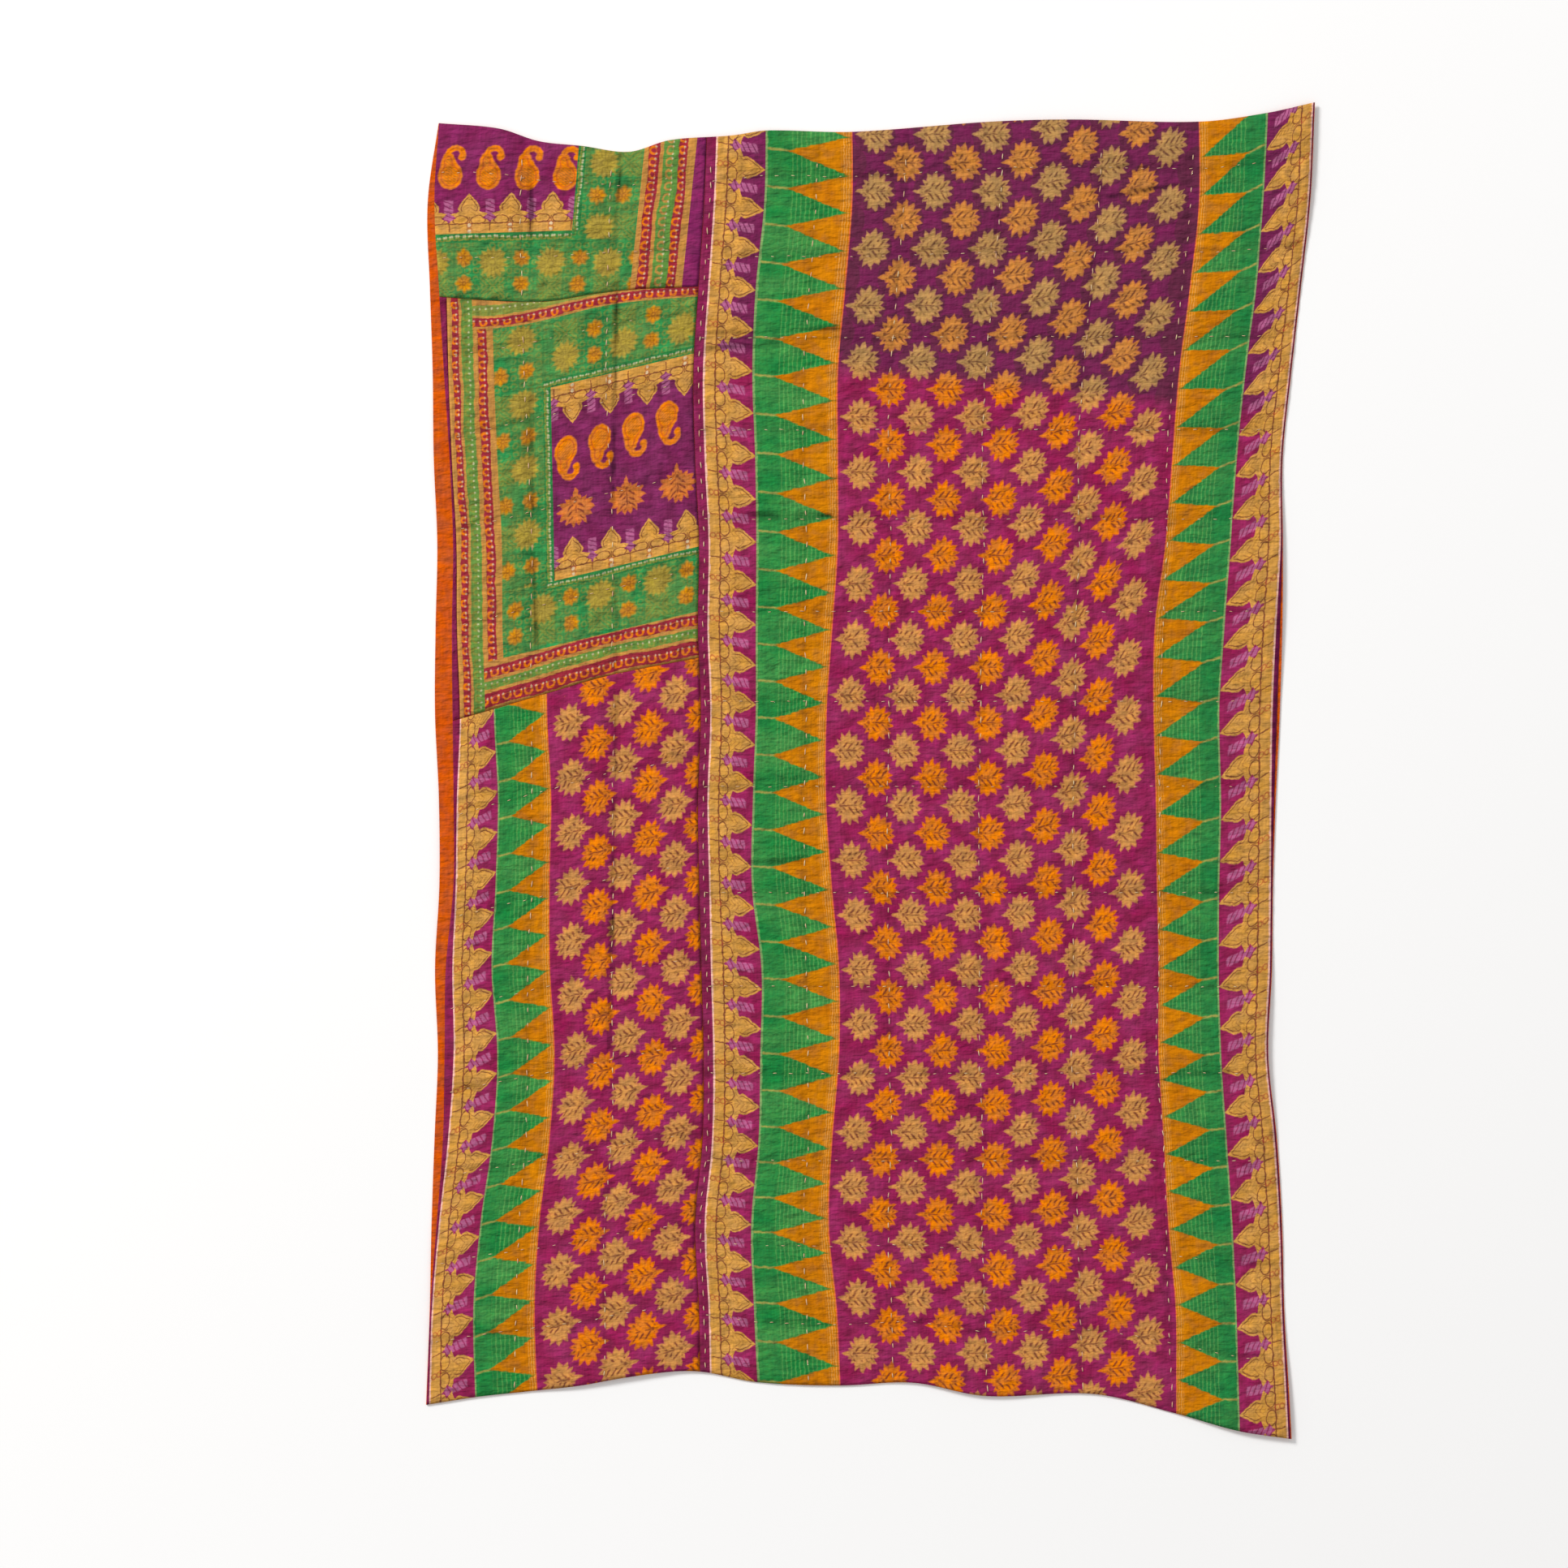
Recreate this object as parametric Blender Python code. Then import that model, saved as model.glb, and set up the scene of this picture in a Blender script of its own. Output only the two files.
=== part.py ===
"""A kantha quilt, pieced from worn printed sari cotton and laid out flat, face up.

The quilt lies on its back, its long side along Y and its thickness along Z, with the
origin under its middle. Six cloths make it: an orange backing, two lengths of sari,
a narrow strip of selvage, a bordered square and a corner cut from a sari's end. Rows
of running stitch draw the cloths down in a loose grid, and the cloth puffs up between
the rows.
"""

import math
from collections import namedtuple

import bmesh
import bpy

MM = 0.001

# Thicknesses, in metres
BACKING_THICK = 0.0014
CLOTH_THICK = 0.0013
LAYER_GAP = 0.0005
SEAM_GAP = 0.0008
PUFF = 0.0026
PUFF_SHARPNESS = 0.6

# Steps in the meshes: columns and rows between two rows of stitches, and in the backing
STEPS_PER_CELL = 3
BACKING_COLUMNS = 24
BACKING_ROWS = 40

# Sections across the quilt, from top to bottom, in millimetres from its centre.
# left and right are the backing's edges, strip is where the face begins beside the
# orange strip, border is where the left sari's gold border begins, seam joins the
# two halves, and face is the right edge of the main panel.
Section = namedtuple("Section", "along left strip border seam face right")
SECTIONS = (
    Section(1150, -759, -759, -750, -287, 778, 781),
    Section(1000, -780, -768, -757, -293, 771, 774),
    Section(850, -776, -760, -747, -303, 755, 758),
    Section(700, -771, -751, -743, -312, 738, 741),
    Section(550, -769, -741, -737, -309, 723, 726),
    Section(400, -763, -735, -729, -302, 722, 726),
    Section(250, -766, -737, -728, -304, 714, 725),
    Section(100, -767, -736, -723, -299, 708, 721),
    Section(-50, -760, -734, -728, -304, 706, 714),
    Section(-200, -759, -734, -730, -302, 705, 709),
    Section(-350, -767, -748, -736, -298, 703, 707),
    Section(-500, -762, -750, -734, -294, 697, 700),
    Section(-650, -768, -753, -744, -296, 712, 716),
    Section(-800, -773, -764, -760, -309, 721, 725),
    Section(-950, -776, -775, -772, -302, 725, 729),
    Section(-1100, -782, -781, -777, -300, 732, 737),
)

# Points along the two ends and along the patches' slanted edges, in millimetres
EdgePoint = namedtuple("EdgePoint", "across along")
TOP_END = (
    EdgePoint(-759, 1140),
    EdgePoint(-654, 1130),
    EdgePoint(-584, 1108),
    EdgePoint(-507, 1100),
    EdgePoint(-425, 1090),
    EdgePoint(-354, 1110),
    EdgePoint(-244, 1118),
    EdgePoint(-181, 1127),
    EdgePoint(-31, 1125),
    EdgePoint(202, 1142),
    EdgePoint(351, 1146),
    EdgePoint(578, 1143),
    EdgePoint(699, 1158),
    EdgePoint(781, 1176),
)
BOTTOM_END = (
    EdgePoint(-782, -1117),
    EdgePoint(-693, -1103),
    EdgePoint(-600, -1093),
    EdgePoint(-513, -1083),
    EdgePoint(-435, -1069),
    EdgePoint(-348, -1058),
    EdgePoint(-294, -1059),
    EdgePoint(-201, -1077),
    EdgePoint(-58, -1083),
    EdgePoint(76, -1078),
    EdgePoint(202, -1101),
    EdgePoint(394, -1098),
    EdgePoint(537, -1132),
    EdgePoint(646, -1162),
    EdgePoint(737, -1176),
)
SQUARE_TOP = (
    EdgePoint(-753, 834),
    EdgePoint(-676, 828),
    EdgePoint(-573, 826),
    EdgePoint(-490, 842),
    EdgePoint(-420, 855),
    EdgePoint(-306, 860),
)
SQUARE_BOTTOM = (
    EdgePoint(-720, 92),
    EdgePoint(-567, 137),
    EdgePoint(-463, 167),
    EdgePoint(-307, 198),
)

# Where each edge would lie if it were straight and level, in millimetres
TOP_LEVEL = 1130
BOTTOM_LEVEL = -1100
SQUARE_TOP_LEVEL = 840
SQUARE_BOTTOM_LEVEL = 145
# How far from an edge the rows take to straighten out again, in millimetres
EDGE_REACH = 400

# Rows of running stitch: across the quilt, in millimetres along it, and down it, as
# shares of the width from the orange strip to the seam, and from the seam to the right
CROSS_ROWS = (1050, 907, 763, 600, 443, 280, 122, -28, -215, -380, -533, -687, -844, -987)
LEFT_ROWS = (0.0, 0.32, 0.65, 1.0)
MAIN_ROWS = (0.0, 0.185, 0.33, 0.49, 0.654, 0.805, 1.0)
LEAST_CELL = 45

# Low swells where the cloth lifts off the surface, in millimetres
Swell = namedtuple("Swell", "across along half_width half_length rise")
SWELLS = (
    Swell(-640, 1130, 190, 200, 5.0),
    Swell(-250, 1120, 200, 190, 4.0),
    Swell(330, 1150, 260, 200, 4.5),
    Swell(780, 1110, 190, 260, 6.0),
    Swell(-780, 560, 180, 240, 3.5),
    Swell(-770, -160, 180, 260, 4.5),
    Swell(-780, -930, 200, 240, 4.0),
    Swell(735, 330, 180, 280, 4.5),
    Swell(715, -480, 180, 240, 5.5),
    Swell(-430, -1080, 220, 200, 5.0),
    Swell(180, -1100, 220, 190, 3.5),
    Swell(700, -1150, 210, 220, 6.0),
    Swell(-60, 700, 230, 260, 3.0),
    Swell(330, 60, 260, 220, 3.0),
    Swell(60, -560, 230, 260, 3.0),
)

# The middle of the quilt lies flat. Round it the cloth stands a hair off the surface,
# but for the places where its edge touches down, in millimetres
BED_HALF_WIDTH = 560
BED_HALF_LENGTH = 800
RIM_RISE = 0.6
RIM_BLEND = 0.16
Touch = namedtuple("Touch", "across along")
TOUCHES = (
    Touch(-768, -654),
    Touch(-212, -1076),
    Touch(485, -1117),
    Touch(728, -910),
    Touch(753, 802),
    Touch(588, 1143),
    Touch(-446, 1090),
    Touch(-781, 970),
)
TOUCH_CORE = 20
TOUCH_REACH = 58

# Folded creases that stand up across the cloth, in millimetres
Crease = namedtuple("Crease", "across along half_width half_length rise")
CREASES = (
    Crease(-180, 762, 190, 26, 1.8),
    Crease(-140, 450, 150, 22, 1.2),
    Crease(-170, -15, 160, 24, 1.4),
    Crease(-520, 300, 20, 330, 1.0),
    Crease(-455, 640, 18, 300, 1.0),
)

ORANGE_COTTON = (0.76, 0.115, 0.008, 1.0)
PURPLE_COTTON = (0.27, 0.012, 0.105, 1.0)
GREEN_COTTON = (0.08, 0.30, 0.11, 1.0)
COTTON_ROUGHNESS = 0.85


def spline(stops, values, place):
    """The height at place of a smooth curve through values, which stand at stops."""
    last = len(stops) - 1
    k = 0
    while k < last - 1 and place > stops[k + 1]:
        k += 1
    span = stops[k + 1] - stops[k]
    t = (place - stops[k]) / span
    slopes = []
    for j in (k, k + 1):
        before = max(j - 1, 0)
        after = min(j + 1, last)
        slopes.append((values[after] - values[before]) / (stops[after] - stops[before]))
    rise = values[k + 1] - values[k]
    ease = t * t * (3 - 2 * t)
    lead = slopes[0] * span * t * (1 - t) ** 2
    tail = slopes[1] * span * t * t * (t - 1)
    if t < 0:
        return values[k] + slopes[0] * span * t
    if t > 1:
        return values[k + 1] + slopes[1] * span * (t - 1)
    return values[k] + rise * ease + lead + tail


def side_line(column):
    """A function of the place along the quilt that gives the named line's place across."""
    upward = SECTIONS[::-1]
    stops = [section.along for section in upward]
    values = [getattr(section, column) for section in upward]
    return lambda along: spline(stops, values, along)


def end_line(points):
    """A function of the place across the quilt that gives the edge's place along it."""
    stops = [point.across for point in points]
    values = [point.along for point in points]
    return lambda across: spline(stops, values, across)


def bell(across, along, swell):
    """The height at a place of a rounded rise with a level foot."""
    reach = math.hypot(
        (across - swell.across) / swell.half_width,
        (along - swell.along) / swell.half_length,
    )
    if reach >= 1:
        return 0.0
    return swell.rise * math.cos(reach * math.pi / 2) ** 2


def share_between(low, high, value):
    """How far value is from low towards high, from 0 to 1."""
    return min(max((value - low) / (high - low), 0.0), 1.0)


def rim_rise(across, along):
    """How far the cloth round the flat middle stands off the surface, in millimetres."""
    outside = math.hypot((across / BED_HALF_WIDTH) ** 2, (along / BED_HALF_LENGTH) ** 2) ** 0.5
    return RIM_RISE * share_between(1, 1 + RIM_BLEND, outside)


def lift(across, along):
    """How far the whole quilt stands off the surface at a place, in millimetres."""
    highest = max(bell(across, along, swell) for swell in SWELLS)
    nearest = min(math.hypot(across - spot.across, along - spot.along) for spot in TOUCHES)
    away = share_between(TOUCH_CORE, TOUCH_REACH, nearest)
    return max(highest, rim_rise(across, along)) * away


def crease_height(across, along):
    """How far the folded creases stand up at a place, in millimetres."""
    return sum(bell(across, along, crease) for crease in CREASES)


def cell_stops(rows, steps):
    """Each row of stitches with steps even places after it, as (place, share of cell)."""
    stops = []
    for low, high in zip(rows[:-1], rows[1:]):
        for step in range(steps):
            stops.append((low + (high - low) * step / steps, step / steps))
    stops.append((rows[-1], 1.0))
    return stops


def rows_between(bottom_level, top_level):
    """The rows of stitches that cross a piece, from its bottom edge to its top edge."""
    inside = sorted(
        row
        for row in CROSS_ROWS
        if bottom_level + LEAST_CELL < row < top_level - LEAST_CELL
    )
    return [bottom_level, *inside, top_level]


def puff(column_share, row_share):
    """How far the cloth stands up inside a cell of stitches, as a share of the most."""
    share = min(math.sin(math.pi * column_share), math.sin(math.pi * row_share))
    return max(share, 0.0) ** PUFF_SHARPNESS


class Layout:
    """Where a piece of cloth lies: its sides, its ends, and the stops of its grid.

    levels are the places along the quilt of its ends, if they were straight. columns
    and rows are lists of (place, share of cell), where the place of a column is a share
    of the piece's width, and that of a row is in millimetres along the quilt.
    """

    def __init__(self, sides, ends, levels, columns, rows):
        self.left, self.right = sides
        self.bottom, self.top = ends
        self.levels = levels
        self.columns = columns
        self.rows = rows

    def along(self, level, across):
        """The place along the quilt of a row that would lie at level if all were straight."""
        bottom_level, top_level = self.levels
        reach = min(EDGE_REACH, (top_level - bottom_level) / 2)
        near_bottom = max(0.0, 1 - (level - bottom_level) / reach)
        near_top = max(0.0, 1 - (top_level - level) / reach)
        down = (self.bottom(across) - bottom_level) * near_bottom
        up = (self.top(across) - top_level) * near_top
        return level + down + up

    def place(self, column, row):
        """The place (across, along) in millimetres of a column and a row of the grid."""
        share, level = self.columns[column][0], self.rows[row][0]
        along = level
        for _ in range(4):
            left, right = self.left(along), self.right(along)
            across = left + (right - left) * share
            along = self.along(level, across)
        return across, along


def lay_grid(mesh, layout):
    """Adds a grid to the mesh, laid on the layout, and records each point's puff."""
    columns = len(layout.columns)
    rows = len(layout.rows)
    puff_layer = mesh.verts.layers.float["puff"]
    made = bmesh.ops.create_grid(
        mesh, x_segments=columns - 1, y_segments=rows - 1, size=0.5
    )
    for vert in made["verts"]:
        column = round((vert.co.x + 0.5) * (columns - 1))
        row = round((vert.co.y + 0.5) * (rows - 1))
        across, along = layout.place(column, row)
        vert.co = (across * MM, along * MM, 0.0)
        vert[puff_layer] = puff(layout.columns[column][1], layout.rows[row][1])


def cotton(name, colour):
    """A matt cotton material."""
    material = bpy.data.materials.new(name)
    material.use_nodes = True
    shader = material.node_tree.nodes["Principled BSDF"]
    shader.inputs["Base Color"].default_value = colour
    shader.inputs["Roughness"].default_value = COTTON_ROUGHNESS
    return material


def make_cloth(name, layout, floor_height, thick, most_puff, material, collection):
    """Makes one closed cloth on its layout.

    floor_height is the height of the cloth's underside where the quilt lies flat.
    """
    mesh = bmesh.new()
    mesh.verts.layers.float.new("puff")
    lay_grid(mesh, layout)
    under = list(mesh.verts)
    grown = bmesh.ops.extrude_face_region(mesh, geom=list(mesh.faces))
    upper = [item for item in grown["geom"] if isinstance(item, bmesh.types.BMVert)]
    puff_layer = mesh.verts.layers.float["puff"]
    for vert in under:
        vert.co.z = floor_height + lift(vert.co.x / MM, vert.co.y / MM) * MM
    for vert in upper:
        across, along = vert.co.x / MM, vert.co.y / MM
        raised = lift(across, along) * MM
        if most_puff:
            raised += vert[puff_layer] * most_puff + crease_height(across, along) * MM
        vert.co.z = floor_height + thick + raised
    bmesh.ops.recalc_face_normals(mesh, faces=mesh.faces)
    data = bpy.data.meshes.new(name)
    mesh.to_mesh(data)
    mesh.free()
    data.shade_smooth()
    data.set_sharp_from_angle(angle=math.radians(50))
    data.materials.append(material)
    cloth = bpy.data.objects.new(name, data)
    collection.objects.link(cloth)
    return cloth


def inset(line, distance):
    """The same line moved by a distance in metres towards plus or minus."""
    return lambda place: line(place) + distance / MM


def make_quilt():
    """Makes the quilt's six cloths."""
    collection = bpy.data.collections.new("quilt")
    bpy.context.scene.collection.children.link(collection)
    left, strip, border = side_line("left"), side_line("strip"), side_line("border")
    seam, face, right = side_line("seam"), side_line("face"), side_line("right")
    top, bottom = end_line(TOP_END), end_line(BOTTOM_END)
    square_top, square_bottom = end_line(SQUARE_TOP), end_line(SQUARE_BOTTOM)
    gap = SEAM_GAP / 2
    face_height = BACKING_THICK + LAYER_GAP
    orange = cotton("orange_cotton", ORANGE_COTTON)
    purple = cotton("purple_sari_cotton", PURPLE_COTTON)
    green = cotton("green_sari_cotton", GREEN_COTTON)

    whole = (BOTTOM_LEVEL, TOP_LEVEL)
    backing = Layout(
        (left, right),
        (bottom, top),
        whole,
        cell_stops((0.0, 1.0), BACKING_COLUMNS),
        cell_stops(whole, BACKING_ROWS),
    )
    make_cloth("backing", backing, 0.0, BACKING_THICK, 0.0, orange, collection)

    main = Layout(
        (inset(seam, gap), face),
        (bottom, top),
        whole,
        cell_stops(MAIN_ROWS, STEPS_PER_CELL),
        cell_stops(rows_between(*whole), STEPS_PER_CELL),
    )
    make_cloth("main_panel", main, face_height, CLOTH_THICK, PUFF, purple, collection)

    left_columns = cell_stops(LEFT_ROWS, STEPS_PER_CELL)
    lower_levels = (BOTTOM_LEVEL, SQUARE_BOTTOM_LEVEL)
    lower = Layout(
        (strip, inset(seam, -gap)),
        (bottom, inset(square_bottom, -gap)),
        lower_levels,
        left_columns,
        cell_stops(rows_between(*lower_levels), STEPS_PER_CELL),
    )
    make_cloth("left_panel", lower, face_height, CLOTH_THICK, PUFF, purple, collection)

    square_levels = (SQUARE_BOTTOM_LEVEL, SQUARE_TOP_LEVEL)
    square_rows = cell_stops(rows_between(*square_levels), STEPS_PER_CELL)
    square_ends = (inset(square_bottom, gap), inset(square_top, -gap))
    selvage = Layout(
        (strip, inset(border, -gap)), square_ends, square_levels, [(0.0, 0.0), (1.0, 1.0)], square_rows
    )
    make_cloth("selvage_strip", selvage, face_height, CLOTH_THICK, 0.0, purple, collection)
    square = Layout(
        (border, inset(seam, -gap)), square_ends, square_levels, left_columns, square_rows
    )
    make_cloth("square_patch", square, face_height, CLOTH_THICK, PUFF, green, collection)

    corner_levels = (SQUARE_TOP_LEVEL, TOP_LEVEL)
    corner = Layout(
        (strip, inset(seam, -gap)),
        (inset(square_top, gap), top),
        corner_levels,
        left_columns,
        cell_stops(rows_between(*corner_levels), STEPS_PER_CELL),
    )
    make_cloth("corner_patch", corner, face_height, CLOTH_THICK, PUFF, green, collection)


for thing in list(bpy.data.objects):
    bpy.data.objects.remove(thing, do_unlink=True)
make_quilt()
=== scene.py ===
"""The looks of a kantha quilt, pieced from worn printed sari cotton and laid out flat.

Each cloth is a fine sheet on the folds of its CAD solid, with the rows of running stitch
drawn down into it. The prints are node patterns in the cloth's own measure: across it
from one edge, and along it in repeats of the print, which slant where the cloth does.
"""

import logging
import math
from dataclasses import dataclass
from enum import Enum
from typing import Callable, NamedTuple, Sequence

import bpy
import bmesh
import numpy as np
from mathutils import Matrix, Vector, kdtree


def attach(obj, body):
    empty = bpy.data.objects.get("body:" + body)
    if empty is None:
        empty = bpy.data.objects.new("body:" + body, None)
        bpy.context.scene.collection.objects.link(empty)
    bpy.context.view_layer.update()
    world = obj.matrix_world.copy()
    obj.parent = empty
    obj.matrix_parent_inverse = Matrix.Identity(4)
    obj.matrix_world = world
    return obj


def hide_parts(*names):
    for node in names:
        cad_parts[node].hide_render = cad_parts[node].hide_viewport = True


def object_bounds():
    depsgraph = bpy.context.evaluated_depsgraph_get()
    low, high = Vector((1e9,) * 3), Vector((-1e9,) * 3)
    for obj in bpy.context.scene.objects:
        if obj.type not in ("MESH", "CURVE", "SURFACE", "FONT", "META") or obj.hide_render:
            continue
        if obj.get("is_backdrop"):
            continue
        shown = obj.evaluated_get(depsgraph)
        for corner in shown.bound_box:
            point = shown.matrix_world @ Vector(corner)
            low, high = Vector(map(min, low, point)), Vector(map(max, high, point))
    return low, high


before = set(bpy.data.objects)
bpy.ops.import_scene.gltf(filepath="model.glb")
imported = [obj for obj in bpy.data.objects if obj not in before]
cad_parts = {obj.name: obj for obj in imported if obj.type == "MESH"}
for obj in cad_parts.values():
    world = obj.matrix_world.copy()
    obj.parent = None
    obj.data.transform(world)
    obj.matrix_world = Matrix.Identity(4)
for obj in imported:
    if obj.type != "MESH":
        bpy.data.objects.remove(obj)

LOG = logging.getLogger("quilt")
MM = 0.001
ROOT = "root"

# The photograph's frame: its side in pixels, the pixel over the origin, and a pixel's size
PHOTO_SIDE = 1932
ORIGIN_PIXEL = (1072.5, 949.5)
PIXEL_MM = 1.43
CAMERA_HEIGHT = 6.0
SENSOR_WIDTH = 36.0

# Heights in millimetres: the backing's cloth, the seat of the face cloths on it, and puffs
BACKING_THICK = 1.4
FACE_SEAT = 1.9
ROW_HEIGHT = 0.5
PUFF = 4.0
SKIRT_HEIGHT = 0.9


def linear(colour: str) -> tuple[float, float, float, float]:
    """Turns an sRGB hex colour to linear.

    Args:
        colour: six hex digits after a hash.

    Returns:
        Red, green, blue and an alpha of one.
    """
    parts = [int(colour[k : k + 2], 16) / 255 for k in (1, 3, 5)]
    red, green, blue = (
        part / 12.92 if part <= 0.04045 else ((part + 0.055) / 1.055) ** 2.4 for part in parts
    )
    return red, green, blue, 1.0


def finished(name: str, mesh: bmesh.types.BMesh) -> bpy.types.Mesh:
    """Turns a bmesh into a named mesh, and frees it.

    Args:
        name: the mesh's name.
        mesh: the bmesh, which is of no use afterwards.

    Returns:
        The mesh.
    """
    data = bpy.data.meshes.new(name)
    mesh.to_mesh(data)
    mesh.free()
    return data


def in_scene(name: str, data: bpy.types.ID) -> bpy.types.Object:
    """Makes an object and puts it in the scene.

    Args:
        name: the object's name.
        data: its mesh, lamp or camera.

    Returns:
        The object, at the origin.
    """
    made = bpy.data.objects.new(name, data)
    bpy.context.scene.collection.objects.link(made)
    return made


def blank_material(name: str) -> bpy.types.Material:
    """A new material whose nodes are still to be drawn.

    Args:
        name: the material's name.

    Returns:
        The material.
    """
    material = bpy.data.materials.new(name)
    material.use_nodes = True
    material.node_tree.nodes.clear()
    return material


# Where the cloth lies


class Section(NamedTuple):
    """The named lines across the quilt at one place along it, in mm from its centre."""

    along: float
    left: float
    strip: float
    border: float
    side_band: float
    side_field: float
    seam: float
    selvage: float
    band: float
    field: float
    far_band: float
    far_border: float
    face: float
    right: float


SECTIONS = (
    Section(1150, -759, -759, -750, -663, -569, -287, -270, -184, -32, 578, 699, 778, 781),
    Section(1000, -780, -768, -757, -663, -569, -293, -276, -187, -32, 578, 691, 771, 774),
    Section(850, -776, -760, -747, -663, -569, -303, -286, -202, -44, 562, 679, 755, 758),
    Section(700, -771, -751, -743, -663, -569, -312, -295, -208, -57, 543, 660, 738, 741),
    Section(550, -769, -741, -737, -663, -569, -309, -292, -203, -57, 531, 645, 723, 726),
    Section(400, -763, -735, -729, -663, -569, -302, -285, -201, -57, 519, 634, 722, 726),
    Section(250, -766, -737, -728, -663, -569, -304, -287, -202, -67, 500, 623, 714, 725),
    Section(100, -767, -736, -723, -663, -569, -299, -282, -202, -77, 498, 614, 708, 721),
    Section(-50, -760, -734, -728, -656, -562, -304, -287, -207, -78, 502, 617, 706, 714),
    Section(-200, -759, -734, -730, -660, -565, -302, -284, -209, -68, 504, 614, 705, 709),
    Section(-350, -767, -748, -736, -667, -564, -298, -281, -192, -55, 507, 613, 703, 707),
    Section(-500, -762, -750, -734, -657, -556, -294, -277, -194, -55, 507, 617, 697, 700),
    Section(-650, -768, -753, -744, -666, -565, -296, -279, -197, -67, 516, 627, 712, 716),
    Section(-800, -773, -764, -760, -687, -583, -309, -292, -210, -73, 524, 637, 721, 725),
    Section(-950, -776, -775, -772, -699, -591, -302, -285, -205, -59, 537, 644, 725, 729),
    Section(-1100, -782, -781, -777, -696, -586, -300, -282, -198, -52, 538, 648, 732, 737),
)


class EdgePoint(NamedTuple):
    """A point of an end or a slanted edge, in mm."""

    across: float
    along: float


def edge_points(*pairs: tuple[float, float]) -> tuple[EdgePoint, ...]:
    """Points from pairs of a place across and a place along."""
    return tuple(EdgePoint(*pair) for pair in pairs)


TOP_END = edge_points(
    (-759, 1140), (-654, 1130), (-584, 1108), (-507, 1100), (-425, 1090), (-354, 1110),
    (-244, 1118), (-181, 1127), (-31, 1125), (202, 1142), (351, 1146), (578, 1143), (699, 1158),
    (781, 1176),
)
BOTTOM_END = edge_points(
    (-782, -1117), (-693, -1103), (-600, -1093), (-513, -1083), (-435, -1069), (-348, -1058),
    (-294, -1059), (-201, -1077), (-58, -1083), (76, -1078), (202, -1101), (394, -1098),
    (537, -1132), (646, -1162), (737, -1176),
)
SQUARE_TOP = edge_points(
    (-753, 834), (-676, 828), (-573, 826), (-490, 839), (-420, 847), (-306, 852),
)
SQUARE_BOTTOM = edge_points(
    (-720, 92), (-567, 137), (-463, 167), (-307, 198),
)
TOP_LEVEL = 1130
BOTTOM_LEVEL = -1100
SQUARE_TOP_LEVEL = 840
SQUARE_BOTTOM_LEVEL = 145
EDGE_REACH = 400
SEAM_GAP = 0.8

CROSS_ROWS = (1050, 907, 763, 600, 443, 280, 122, -28, -215, -380, -533, -687, -844, -987)
LEFT_ROWS = (0.0, 0.32, 0.65, 1.0)
MAIN_ROWS = (0.0, 0.185, 0.33, 0.49, 0.654, 0.805, 1.0)
LEAST_CELL = 45
# How close the points of a row stand where the backing's grooves are measured, in mm
ROW_STEP = 7.0


class Swell(NamedTuple):
    """A low rounded rise of the cloth: its middle, its half sizes and its height, in mm."""

    across: float
    along: float
    half_width: float
    half_length: float
    rise: float


SWELLS = (
    Swell(-640, 1130, 190, 200, 5.0),
    Swell(-250, 1120, 200, 190, 4.0),
    Swell(330, 1150, 260, 200, 4.5),
    Swell(780, 1110, 190, 260, 6.0),
    Swell(-780, 560, 180, 240, 3.5),
    Swell(-770, -160, 180, 260, 4.5),
    Swell(-780, -930, 200, 240, 4.0),
    Swell(735, 330, 180, 280, 4.5),
    Swell(715, -480, 180, 240, 5.5),
    Swell(-430, -1080, 220, 200, 5.0),
    Swell(180, -1100, 220, 190, 3.5),
    Swell(700, -1150, 210, 220, 6.0),
    Swell(-60, 700, 230, 260, 3.0),
    Swell(330, 60, 260, 220, 3.0),
    Swell(60, -560, 230, 260, 3.0),
)
CREASES = (
    Swell(-180, 762, 190, 26, 1.8),
    Swell(-140, 450, 150, 22, 1.2),
    Swell(-170, -15, 160, 24, 1.4),
    Swell(-520, 300, 20, 330, 1.0),
    Swell(-455, 640, 18, 300, 1.0),
)
# Fold lines: the dip's depth and half width, the strength and half width of the painted shade along
# them, and their wandering
FOLD_DEPTH = 1.1
FOLD_HALF = 5.0
FOLD_SHADE = 2.1
FOLD_SHADE_HALF = 4.0
FOLD_WANDER = 2.0
FOLD_WANDER_SIZE = 40
# How far the painted shade reaches from a row of stitches, in mm
ROW_SHADE_WIDTH = 4.5
# Rounds that bring each point of a grid, and of a row of stitches, onto its two lines
LAY_ROUNDS = 6
ROW_ROUNDS = 5
# Outside a rounded oblong of these half sizes the quilt's rim stands a little off
BED_HALF_WIDTH = 560
BED_HALF_LENGTH = 800
RIM_RISE = 0.6
RIM_BLEND = 0.16
TOUCHES = edge_points(
    (-768, -654), (-212, -1076), (485, -1117), (728, -910), (753, 802), (588, 1143), (-446, 1090),
    (-781, 970),
)
TOUCH_CORE = 20
TOUCH_REACH = 58


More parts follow.
